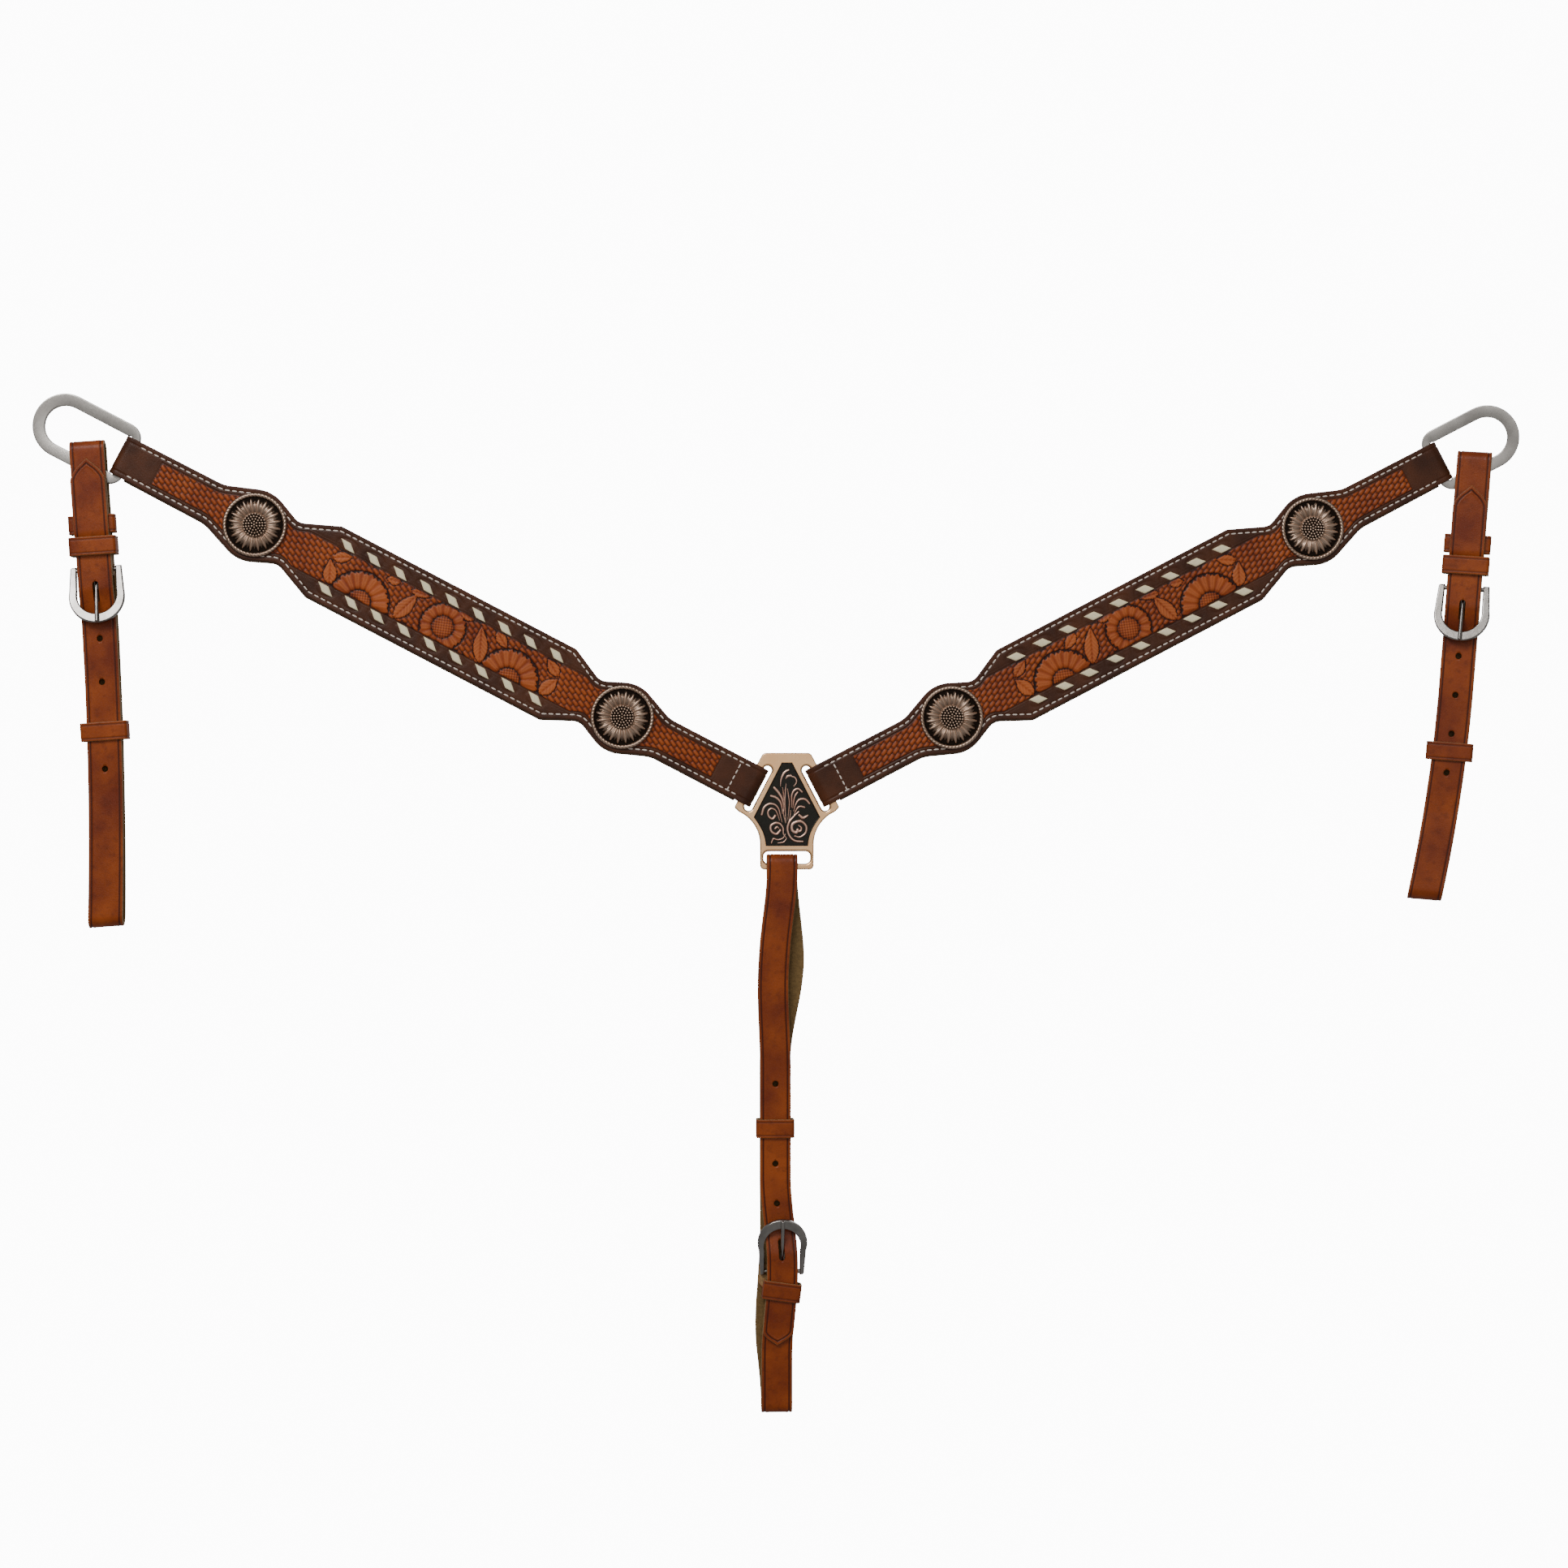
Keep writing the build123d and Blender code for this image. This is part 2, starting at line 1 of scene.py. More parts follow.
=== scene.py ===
from math import asin, atan2, ceil, cos, hypot, pi, radians, sin, tan
import bpy
import numpy as np
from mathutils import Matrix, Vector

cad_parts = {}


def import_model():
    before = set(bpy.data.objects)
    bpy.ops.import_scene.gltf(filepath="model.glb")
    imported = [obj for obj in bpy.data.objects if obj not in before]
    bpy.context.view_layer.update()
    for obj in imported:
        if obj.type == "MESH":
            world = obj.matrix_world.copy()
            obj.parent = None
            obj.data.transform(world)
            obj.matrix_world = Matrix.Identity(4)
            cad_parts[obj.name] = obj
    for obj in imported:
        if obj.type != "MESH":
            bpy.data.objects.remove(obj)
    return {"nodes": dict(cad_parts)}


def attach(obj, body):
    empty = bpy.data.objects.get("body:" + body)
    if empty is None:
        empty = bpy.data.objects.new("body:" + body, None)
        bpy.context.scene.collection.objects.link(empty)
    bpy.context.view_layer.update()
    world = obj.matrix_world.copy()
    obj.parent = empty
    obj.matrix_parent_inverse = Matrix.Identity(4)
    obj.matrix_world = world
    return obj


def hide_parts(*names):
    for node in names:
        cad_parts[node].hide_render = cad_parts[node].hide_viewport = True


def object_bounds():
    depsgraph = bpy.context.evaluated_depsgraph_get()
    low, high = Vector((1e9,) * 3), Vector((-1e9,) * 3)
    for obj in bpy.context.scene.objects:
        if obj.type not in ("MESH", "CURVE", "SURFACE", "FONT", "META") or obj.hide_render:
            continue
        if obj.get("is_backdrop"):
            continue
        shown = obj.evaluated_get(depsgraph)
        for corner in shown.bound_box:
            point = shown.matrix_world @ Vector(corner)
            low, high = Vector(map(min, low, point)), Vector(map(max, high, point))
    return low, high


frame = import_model()
CAD_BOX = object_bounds()

# ---------------------------------------------------------------------------
# Western breast collar. Lengths are in millimetres and become metres when a mesh is
# made. The driving sizes repeat the CAD model's.
# ---------------------------------------------------------------------------
MM = 0.001
# shoulder straps: distances up the strap from the middle of the yoke
STRAP_RISE = 27.6
YOKE_BAR = 25.1
DEE_BAR = 455.0
FACE_LEATHER = 3.0
LINING_LEATHER = 2.5
FOLD_INNER = 3.0
TURNBACK = 35.0
CONCHO_PLACES = (114.3, 366.8)
HALF_STRAP = 12.7
HALF_DEE_END = 12.4
HALF_BODY = 24.0
SWELL = 21.7
SWELL_CREST = 1.8
BODY_SPAN = (158.3, 319.6)
INNER_NECKS = ((-26.3, 12.7), (22.2, 13.4))
OUTER_NECKS = ((-22.8, 13.6), (27.7, 13.0))
OUTLINE_ROUNDS = (0, 20, SWELL, 9, 2.5, 2.5, 9, SWELL, 20, 0)
STRAP_END = 480.0
# buckstitch lace and conchos
LACE_FIRST = 167.0
LACE_PITCH = 18.0
LACE_COUNT = 9
LACE_ROW = 14.9
LACE_SHOW = 7.2
LACE_SLANT = {"left": (5.0, 4.9), "right": (4.1, -4.9)}
CONCHO_RADIUS = 19.5
# buckled straps, keepers and dees
STRAP_LEATHER = 2.6
RUN_DEPTH = 4.7
HEEL_DEPTH = 1.8
KEEPER_LEATHER = 1.5
KEEPER_HEIGHT = 11.4
FIRST_HOLE = -42.0
DEE_TILT = {"left": 0.0, "right": 14.0}
DEE_REACH = {"left": 42.0, "right": 35.0}
DEE_MIDDLE = 16.2
TUG_ON_DEE = {"left": 17.4, "right": 18.0}
TUG_LEAN = {"left": 4.1, "right": 4.5}

MIDDLE = np.array([0.0, -2.0, 0.0])
FRONT = np.array([0.0, -1.0, 0.0])
FOLD_MIDDLE = FOLD_INNER + FACE_LEATHER / 2
FACE_FRONT = FOLD_INNER + FACE_LEATHER
LINING_BACK = FOLD_INNER - LINING_LEATHER
PANEL_START, PANEL_END = 49.0, 434.0
PANEL_HALF = 12.0
STITCH_INSET = 3.0
STITCH_PITCH = 4.3

random = np.random.default_rng(7)


# ---- Materials ----
class Nodes:
    """Short calls for building a node tree. A value is a number, a tuple or another node's output."""

    def __init__(self, name):
        self.material = bpy.data.materials.new(name)
        self.material.use_nodes = True
        self.tree = self.material.node_tree
        self.shader = self.tree.nodes["Principled BSDF"]
        self.place = self.tree.nodes.new("ShaderNodeTexCoord").outputs["Object"]

    def put(self, value, socket):
        if isinstance(value, bpy.types.NodeSocket):
            self.tree.links.new(value, socket)
        else:
            socket.default_value = value

    def add(self, kind, **inputs):
        node = self.tree.nodes.new(f"ShaderNode{kind}")
        for name, value in inputs.items():
            self.put(value, node.inputs[name.replace("_", " ")])
        return node

    def attribute(self, name):
        node = self.add("Attribute")
        node.attribute_name = name
        return node.outputs["Fac"]

    def stretch(self, scale):
        return self.add("Mapping", Vector=self.place, Scale=scale).outputs["Vector"]

    def noise(self, scale, detail=3.0, roughness=0.55, vector=None):
        vector = vector or self.place
        node = self.add("TexNoise", Vector=vector, Scale=scale, Detail=detail, Roughness=roughness)
        return node.outputs["Fac"]

    def cells(self, scale):
        return self.add("TexVoronoi", Vector=self.place, Scale=scale).outputs["Distance"]

    def spread(self, value, low, high, to_low=0.0, to_high=1.0):
        node = self.add("MapRange", Value=value, From_Min=low, From_Max=high, To_Min=to_low, To_Max=to_high)
        return node.outputs["Result"]

    def combine(self, operation, first, second):
        node = self.add("Math")
        node.operation = operation
        self.put(first, node.inputs[0])
        self.put(second, node.inputs[1])
        return node.outputs["Value"]

    def mix(self, share, first, second):
        node = self.add("Mix")
        node.data_type = "RGBA"
        self.put(share, node.inputs[0])
        colours = [socket for socket in node.inputs if socket.type == "RGBA"]
        for socket, value in zip(colours, (first, second)):
            self.put((*value, 1.0) if isinstance(value, tuple) else value, socket)
        return [socket for socket in node.outputs if socket.type == "RGBA"][0]

    def bump(self, height, strength, distance):
        node = self.add("Bump", Height=height, Strength=strength, Distance=distance)
        self.put(node.outputs["Normal"], self.shader.inputs["Normal"])

    def finish(self, colour, roughness, **sockets):
        self.put(colour, self.shader.inputs["Base Color"])
        self.put(roughness, self.shader.inputs["Roughness"])
        for name, value in sockets.items():
            self.put(value, self.shader.inputs[name.replace("_", " ")])
        return self.material


def tooled_leather():
    """Antiqued orange-brown panel inside a dark brown painted border: its recesses darkened by antique stain
    and painted shade, its raised crests lightened with a painted highlight.
    """
    n = Nodes("tooled_leather")
    blotch = n.noise(55.0, 4.0)
    fine = n.noise(900.0, 3.0)
    depth = n.attribute("depth")
    panel = n.mix(n.spread(blotch, 0.3, 0.7), (0.20, 0.030, 0.005), (0.34, 0.066, 0.009))
    # painted shade: the panel darkens where the relief sinks, antique stain in the recesses deepened as
    # shade
    panel = n.mix(n.spread(depth, 0.16, -0.24), panel, (0.022, 0.003, 0.001))
    # painted highlight: the raised crests of the relief are lightened
    panel = n.mix(n.spread(depth, 0.20, 0.50, 0.0, 0.6), panel, (0.55, 0.16, 0.045))
    border = n.mix(n.spread(blotch, 0.35, 0.7), (0.042, 0.0122, 0.0044), (0.085, 0.0250, 0.0086))
    wear = n.mix(n.spread(fine, 0.60, 0.80, 0.0, 0.5), border, (0.07, 0.022, 0.012))
    colour = n.mix(n.attribute("paint"), panel, wear)
    colour = n.mix(n.attribute("edge"), colour, (0.040, 0.016, 0.008))
    colour = n.mix(n.attribute("flesh"), colour, (0.15, 0.085, 0.04))
    grain = n.combine("ADD", n.cells(1500.0), n.noise(2600.0, 2.0))
    n.bump(grain, 0.25, 0.0003)
    rough = n.spread(fine, 0.3, 0.7, 0.32, 0.5)
    return n.finish(colour, rough, Specular_IOR_Level=0.2, Coat_Weight=0.04, Coat_Roughness=0.2)


def strap_leather(name, light, dark, flesh, edge):
    """Smooth harness leather: dyed grain side, suede-like flesh side, raw edges, and painted shade in its
    creases and stitch grooves.
    """
    n = Nodes(name)
    blotch = n.noise(38.0, 5.0)
    fine = n.noise(1400.0, 2.0)
    grain = n.mix(n.spread(blotch, 0.32, 0.68), dark, light)
    grain = n.mix(n.spread(n.noise(240.0, 4.0), 0.52, 0.8, 0.0, 0.6), grain, tuple(c * 0.55 for c in dark))
    # painted shade: the grain darkens in the creases and stitch grooves, where the relief sinks
    grain = n.mix(n.spread(n.attribute("depth"), 0.0, -0.2), grain, tuple(c * 0.35 for c in dark))
    suede = n.mix(n.spread(n.noise(500.0, 6.0, 0.7), 0.35, 0.65), flesh, tuple(c * 0.62 for c in flesh))
    raw = n.mix(n.spread(n.noise(900.0, 4.0), 0.35, 0.7), edge, tuple(c * 0.55 for c in edge))
    colour = n.mix(n.attribute("flesh"), grain, suede)
    colour = n.mix(n.attribute("edge"), colour, raw)
    smooth_side = n.spread(fine, 0.3, 0.7, 0.33, 0.5)
    rough = n.combine("MAXIMUM", n.spread(n.attribute("flesh"), 0.0, 1.0, 0.0, 0.85), smooth_side)
    n.bump(n.combine("ADD", n.cells(1300.0), n.noise(2400.0, 2.0)), 0.22, 0.0003)
    return n.finish(colour, rough, Specular_IOR_Level=0.22, Coat_Weight=0.06, Coat_Roughness=0.25)


def rawhide():
    """Cream lace with faint long fibres, and painted shade where it tucks into its slits."""
    n = Nodes("rawhide")
    fibre = n.noise(700.0, 4.0, 0.6, n.stretch((1.0, 1.0, 4.0)))
    blotch = n.noise(120.0, 2.0)
    colour = n.mix(n.spread(fibre, 0.3, 0.7), (0.78, 0.64, 0.38), (0.93, 0.84, 0.58))
    colour = n.mix(n.spread(blotch, 0.45, 0.75, 0.0, 0.5), colour, (0.80, 0.76, 0.44))
    # painted shade: the edge mark darkens the lace at its ends, where it dives into the slits, and half as
    # much along its sides
    colour = n.mix(n.attribute("edge"), colour, (0.42, 0.29, 0.15))
    n.bump(fibre, 0.3, 0.0002)
    return n.finish(colour, 0.48)


def thread():
    """Waxed cream stitching."""
    n = Nodes("waxed_thread")
    twist = n.noise(2500.0, 2.0)
    colour = n.mix(n.spread(twist, 0.35, 0.65), (0.62, 0.50, 0.42), (0.86, 0.78, 0.68))
    n.bump(twist, 0.4, 0.0002)
    return n.finish(colour, 0.55)


def cast_metal(name, bright, dull, roughness, patina_and_painted_shade, pitting=0.2):
    """Metal with cloudy wear, fine casting marks and a dark colour where its depth mark says: patina in the
    hollows, and on the conchos painted shade as well.
    """
    n = Nodes(name)
    cloud = n.noise(70.0, 5.0, 0.6)
    fine = n.noise(900.0, 3.0, 0.6)
    colour = n.mix(n.spread(cloud, 0.35, 0.7), bright, dull)
    # the depth mark paints the dark colour: patina in hollows, and painted shade where the conchos' mark
    # follows their shape
    colour = n.mix(n.attribute("depth"), colour, patina_and_painted_shade)
    rough = n.spread(n.combine("ADD", cloud, fine), 0.6, 1.4, roughness[0], roughness[1])
    n.bump(n.combine("ADD", fine, n.noise(260.0, 3.0)), pitting, 0.0002)
    return n.finish(colour, rough, Metallic=1.0)


TOOLED = tooled_leather()
TUG = strap_leather(
    "chestnut_leather", light=(0.300, 0.058, 0.006), dark=(0.150, 0.021, 0.003),
    flesh=(0.21, 0.125, 0.045), edge=(0.34, 0.20, 0.085),
)
LINING = strap_leather(
    "lining_leather", light=(0.17, 0.065, 0.03), dark=(0.10, 0.036, 0.018),
    flesh=(0.18, 0.10, 0.05), edge=(0.20, 0.10, 0.05),
)
RAWHIDE = rawhide()
THREAD = thread()
COPPER = cast_metal(
    "bright_copper", bright=(0.97, 0.60, 0.31), dull=(0.93, 0.52, 0.24), roughness=(0.24, 0.34),
    patina_and_painted_shade=(0.30, 0.12, 0.06), pitting=0.05,
)
ENGRAVED = cast_metal(
    "engraved_copper", bright=(0.86, 0.55, 0.42), dull=(0.70, 0.38, 0.27), roughness=(0.26, 0.40),
    patina_and_painted_shade=(0.030, 0.028, 0.024),
)
ANTIQUE = cast_metal(
    "antique_copper", bright=(0.66, 0.47, 0.35), dull=(0.46, 0.31, 0.22), roughness=(0.26, 0.38),
    patina_and_painted_shade=(0.012, 0.008, 0.006),
)
NICKEL = cast_metal(
    "worn_nickel", bright=(0.54, 0.51, 0.47), dull=(0.36, 0.335, 0.31), roughness=(0.24, 0.36),
    patina_and_painted_shade=(0.10, 0.09, 0.08), pitting=0.05,
)
STEEL = cast_metal(
    "polished_steel", bright=(0.33, 0.31, 0.29), dull=(0.18, 0.165, 0.15), roughness=(0.16, 0.28),
    patina_and_painted_shade=(0.10, 0.10, 0.10), pitting=0.06,
)


# ---- Mesh tools ----
def mesh_object(name, points, faces, **attributes):
    """An object from points in millimetres, with its faces turned outwards."""
    points = np.asarray(points, float) * MM
    mesh = bpy.data.meshes.new(name)
    mesh.from_pydata(points.tolist(), [], faces)
    for key, values in attributes.items():
        layer = mesh.attributes.new(key, "FLOAT", "POINT")
        layer.data.foreach_set("value", np.asarray(values, np.float32).ravel())
    if signed_volume(mesh) < 0:
        mesh.flip_normals()
    thing = bpy.data.objects.new(name, mesh)
    bpy.context.scene.collection.objects.link(thing)
    return thing


def add_piece(name, points, faces, material, body, slot, stands_for=(), **attributes):
    """A smooth piece that moves with a body and may take the place of CAD nodes."""
    piece = mesh_object(name, points, faces, **attributes)
    piece.data.shade_smooth()
    piece.data.materials.append(material)
    piece.data.validate()
    if stands_for:
        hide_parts(*stands_for)
    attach(piece, body)
    return piece


def signed_volume(mesh):
    """Six times the enclosed volume: below zero when the faces point inwards."""
    mesh.calc_loop_triangles()
    corners = np.empty(len(mesh.loop_triangles) * 3, np.int32)
    mesh.loop_triangles.foreach_get("vertices", corners)
    places = np.empty(len(mesh.vertices) * 3)
    mesh.vertices.foreach_get("co", places)
    places = places.reshape(-1, 3)
    places = places - places.mean(0)
    a, b, c = (places[corners[k::3]] for k in range(3))
    return float(np.einsum("ij,ij->i", a, np.cross(b, c)).sum())


def ring_faces(rings, loop, closed=False):
    """Quads of a tube of rings, capped with one face at each end unless it closes on itself."""
    rows = np.arange(rings if closed else rings - 1)[:, None]
    columns = np.arange(loop)[None, :]
    after = (columns + 1) % loop
    further = (rows + 1) % rings
    near, far = rows * loop, further * loop
    faces = np.stack([near + columns, near + after, far + after, far + columns], -1).reshape(-1, 4).tolist()
    if not closed:
        faces.append(list(range(loop))[::-1])
        faces.append(list(range((rings - 1) * loop, rings * loop)))
    return faces


def rounded_line(corners, step):
    """Points and unit directions along a line whose corners are rounded."""
    points = [np.array(point, float) for point, _ in corners]
    places, ways = [], []
    start = points[0]
    for index in range(1, len(points)):
        corner = points[index]
        before = (corner - points[index - 1]) / np.linalg.norm(corner - points[index - 1])
        turn = cut = 0.0
        if index < len(points) - 1:
            after = (points[index + 1] - corner) / np.linalg.norm(points[index + 1] - corner)
            turn = atan2(before[0] * after[1] - before[1] * after[0], before.dot(after))
            cut = corners[index][1] * tan(abs(turn) / 2)
        end = corner - before * cut
        count = max(1, ceil(np.linalg.norm(end - start) / step))
        places += [start + (end - start) * k / count for k in range(count)]
        ways += [before] * count
        if turn:
            side = np.array([-before[1], before[0]]) * (1 if turn > 0 else -1)
            centre = end + side * corners[index][1]
            count = max(3, ceil(corners[index][1] * abs(turn) / step), ceil(abs(turn) / radians(10)))
            for k in range(count):
                places.append(centre + turned(end - centre, turn * k / count))
                ways.append(turned(before, turn * k / count))
            start = centre + turned(end - centre, turn)
        else:
            start = end
    places.append(points[-1])
    ways.append(ways[-1])
    return np.array(places), np.array(ways)


def turned(vector, angle):
    x, y = vector
    return np.array([x * cos(angle) - y * sin(angle), x * sin(angle) + y * cos(angle)])


def smooth(value, low, high):
    """Eased step from 0 at low to 1 at high."""
    t = np.clip((value - low) / (high - low), 0, 1)
    return t * t * (3 - 2 * t)


def groove(distance, width):
    """Bell that is 1 on a line and fades over a width."""
    return np.exp(-((distance / width) ** 2))


ROUNDING = np.array([0.0, 0.08, 0.25, 0.5, 0.9])


def section_columns(half, count):
    """Places across leather at each ring, close together at the rounded edges."""
    inset = np.minimum(1.0, half / 2.5)[:, None]
    edge = half[:, None] - ROUNDING[None, :] * inset
    inner = (half[:, None] - 1.3 * inset) * np.linspace(-1, 1, count)[None, :]
    return np.concatenate([-edge, inner, edge[:, ::-1]], 1)


def edge_drop(across, half, radius):
    """How far rounded edges fall below the flat of the leather."""
    inside = np.clip(half[:, None] - np.abs(across), 0, radius)
    return radius - np.sqrt(radius**2 - (radius - inside) ** 2)


def stitch_groove(from_edge, depth):
    return -depth * groove(from_edge - STITCH_INSET, 0.55)


def leather_band(
    line, ways, half, thickness, columns, to_world, relief, grain_side=1, closed=False, back_columns=8
):
    """Leather swept along a line: relief on its grain side, flesh behind, rounded raw edges.

    line and ways are in the plane of the band's edge, and to_world places (line x, line y, across).
    """
    rings = len(line)
    normals = np.stack([ways[:, 1], -ways[:, 0]], 1) * grain_side
    top = section_columns(half, columns)
    bottom = section_columns(half, back_columns)[:, ::-1]
    spread = np.gradient(half) / np.maximum(1e-6, np.linalg.norm(np.gradient(line, axis=0), axis=1))
    slope = np.sqrt(1 + np.clip(spread, -3, 3) ** 2)[:, None]
    from_edge = (half[:, None] - np.abs(top)) / slope
    relief_height = relief(top, from_edge)
    top_height = thickness / 2 - edge_drop(top, half, 0.6) + relief_height * smooth(from_edge, 0.1, 0.7)
    bottom_height = -thickness / 2 + edge_drop(bottom, half, 0.35)
    across = np.concatenate([top, bottom], 1)
    height = np.concatenate([top_height, bottom_height], 1)
    loop = across.shape[1]
    places = line[:, None, :] + normals[:, None, :] * height[:, :, None]
    points = to_world(places.reshape(-1, 2), across.ravel())
    flesh = np.concatenate([np.zeros_like(top), np.ones_like(bottom)], 1)
    raw_top = 1 - smooth(from_edge, 0.1, 0.3)
    raw_bottom = 1 - smooth(half[:, None] - np.abs(bottom), 0.05, 0.2)
    edge = np.concatenate([raw_top, raw_bottom], 1)
    # the relief's height, which the leather materials turn into painted shade in its hollows and, on the
    # tooled face, a painted highlight on its crests
    depth = np.concatenate([relief_height, np.zeros_like(bottom)], 1)
    return points, ring_faces(rings, loop, closed), {"flesh": flesh, "edge": edge, "depth": depth}, top, loop


def capsules(starts, ends, normals, width, height):
    """Stitches: tapered rounded bars from starts to ends, as one mesh."""
    rings, around = 7, 8
    along = np.linspace(-1, 1, rings)
    swell = np.sqrt(1 - (np.abs(along) * 0.96) ** 3)
    angle = np.arange(around) * 2 * pi / around
    middle = (starts + ends) / 2
    reach = (ends - starts) / 2
    side = np.cross(reach / np.linalg.norm(reach, axis=1)[:, None], normals)
    points = (
        middle[:, None, None]
        + reach[:, None, None] * along[None, :, None, None]
        + side[:, None, None] * (swell[:, None] * np.cos(angle) * width / 2)[None, :, :, None]
        + normals[:, None, None] * (swell[:, None] * np.sin(angle) * height / 2)[None, :, :, None]
    )
    one = ring_faces(rings, around)
    faces = [[corner + rings * around * k for corner in face] for k in range(len(starts)) for face in one]
    return points.reshape(-1, 3), faces


# ---- Shoulder straps ----
def sense(side):
    """Sign of X on a side."""
    return 1 if side == "right" else -1


def shoulder_axes(side):
    """Directions up a shoulder strap and across it."""
    rise = radians(STRAP_RISE)
    along = np.array([sense(side) * cos(rise), 0, sin(rise)])
    across = np.array([-sense(side) * sin(rise), 0, cos(rise)])
    return along, across


def shoulder_world(side):
    along, across = shoulder_axes(side)

    def place(edge_view, w):
        """edge_view is (distance up the strap, distance forward)."""
        return MIDDLE + edge_view[:, :1] * along + edge_view[:, 1:] * FRONT + w[:, None] * across

    return place


def shoulder_profile():
    """Outline of a shoulder strap: half width against distance up it."""
    corners = [(0.0, HALF_STRAP)]
    for concho_place, necks in zip(CONCHO_PLACES, (INNER_NECKS, OUTER_NECKS)):
        (before, before_half), (after, after_half) = necks
        corners.append((concho_place + before, before_half))
        corners.append((concho_place, SWELL + SWELL_CREST))
        corners.append((concho_place + after, after_half))
    corners[4:4] = [(place, HALF_BODY) for place in BODY_SPAN]
    corners.append((STRAP_END, HALF_DEE_END))
    corners = list(zip(corners, OUTLINE_ROUNDS))
    return rounded_line(corners, 0.8)[0]


PROFILE = shoulder_profile()


def shoulder_half(u):
    return np.interp(u, PROFILE[:, 0], PROFILE[:, 1])


def turned_end(bar, way):
    """Middle line of the face leather round a bar and back along the lining."""
    knee = 16.0
    tail = LINING_BACK - FACE_LEATHER / 2
    slope = tan(asin(FOLD_MIDDLE / hypot(knee, tail)) + atan2(tail, knee))
    return [
        ((bar + way * TURNBACK, tail), 0),
        ((bar + way * knee, tail), 20),
        ((bar - way * FOLD_MIDDLE, tail - (knee + FOLD_MIDDLE) * slope), FOLD_MIDDLE - 0.05),
        ((bar - way * FOLD_MIDDLE, FOLD_MIDDLE), FOLD_MIDDLE - 0.05),
    ]


def panel_half(u):
    """Half width of the tooled panel inside the painted border."""
    return np.minimum(PANEL_HALF, shoulder_half(u) - 5.2)


WEAVE_LENGTH, WEAVE_WIDTH = 5.2, 2.7
WEAVE_TURN = radians(-STRAP_RISE)


def basket_weave(u, w):
    """Stamped barrel rows, each half a stamp along from the next."""
    a = u * cos(WEAVE_TURN) - w * sin(WEAVE_TURN)
    b = u * sin(WEAVE_TURN) + w * cos(WEAVE_TURN)
    row = np.floor(b / WEAVE_WIDTH)
    across = (b / WEAVE_WIDTH - row - 0.5) * 2
    stamp = a / WEAVE_LENGTH + 0.5 * (row % 2)
    along = (stamp - np.floor(stamp) - 0.5) * 2
    barrel = (1 - np.abs(across) ** 2.5) * (1 - np.abs(along) ** 4)
    return 0.55 * barrel - 0.25


BARE = -9.0  # relief where a carving leaves the ground alone
# along, across, seed radius, petal reach, petals
FLOWERS = ((187.0, -12.5, 7.6, 19.0, 18), (237.0, -2.0, 6.8, 14.3, 14), (289.5, -12.5, 7.6, 19.0, 18))
# root, tip, half width
LEAVES = (
    ((207.0, -11.0), (216.0, 9.5), 4.4),
    ((206.0, 10.8), (196.0, 4.5), 3.0),
    ((264.0, 9.0), (251.5, 11.0), 2.4),
    ((266.0, -11.0), (259.5, 8.5), 4.4),
    ((222.0, 10.5), (232.0, 11.0), 2.2),
    ((272.0, 10.5), (281.0, 8.5), 2.8),
    ((166.0, -11.0), (160.0, 2.5), 4.0),
    ((160.5, 4.0), (171.0, 10.5), 3.2),
    ((310.0, -11.0), (316.5, 3.0), 4.0),
    ((315.5, 4.5), (305.0, 10.5), 3.2),
)


def flower_relief(u, w, centre_u, centre_w, seeds, reach, count):
    """Height and cover of a sunflower: domed seeds inside two rings of veined petals."""
    du, dw = u - centre_u, w - centre_w
    radius = np.hypot(du, dw)
    turn = np.arctan2(dw, du) * count / (2 * pi)
    height = np.full_like(u, BARE)
    for shift, size, lift in ((0.5, 1.0, 0.30), (0.0, 0.93, 0.48)):
        from_middle = np.abs(turn + shift - np.round(turn + shift)) * 2
        tip = seeds + (reach - seeds) * size * (1 - 0.42 * from_middle**1.8)
        petal = lift - 0.62 * from_middle**2.2 - 0.22 * groove(from_middle, 0.16)
        petal -= 0.30 * groove(radius - seeds, 1.6)
        petal = np.where(radius < tip, petal, BARE)
        height = np.maximum(height, petal)
    lattice = np.cos(du * 2.5 + dw * 1.2) * np.cos(dw * 2.5 - du * 1.2)
    dome = 0.05 + 0.25 * (1 - (radius / seeds) ** 2) + 0.36 * lattice
    height = np.where(radius < seeds, dome, height)
    height -= 0.35 * groove(radius - seeds, 0.45)
    cover = radius < reach + 0.7
    return height, cover


def leaf_relief(u, w, root, tip, width):
    """Height and cover of a pointed leaf with a midrib and side veins."""
    root, tip = np.array(root), np.array(tip)
    length = np.linalg.norm(tip - root)
    way = (tip - root) / length
    t = ((u - root[0]) * way[0] + (w - root[1]) * way[1]) / length
    off = (u - root[0]) * -way[1] + (w - root[1]) * way[0]
    half = width * np.sin(pi * np.clip(t, 0, 1) ** 0.8)
    inside = half - np.abs(off)
    height = 0.42 - 0.30 * groove(off, 0.45) + 0.09 * np.cos(2 * pi * (t * length / 2.6 + np.abs(off) / 2.4))
    height = np.where((inside > 0) & (t > 0) & (t < 1), height, BARE)
    return height, (inside > -0.7) & (t > -0.03) & (t < 1.03)


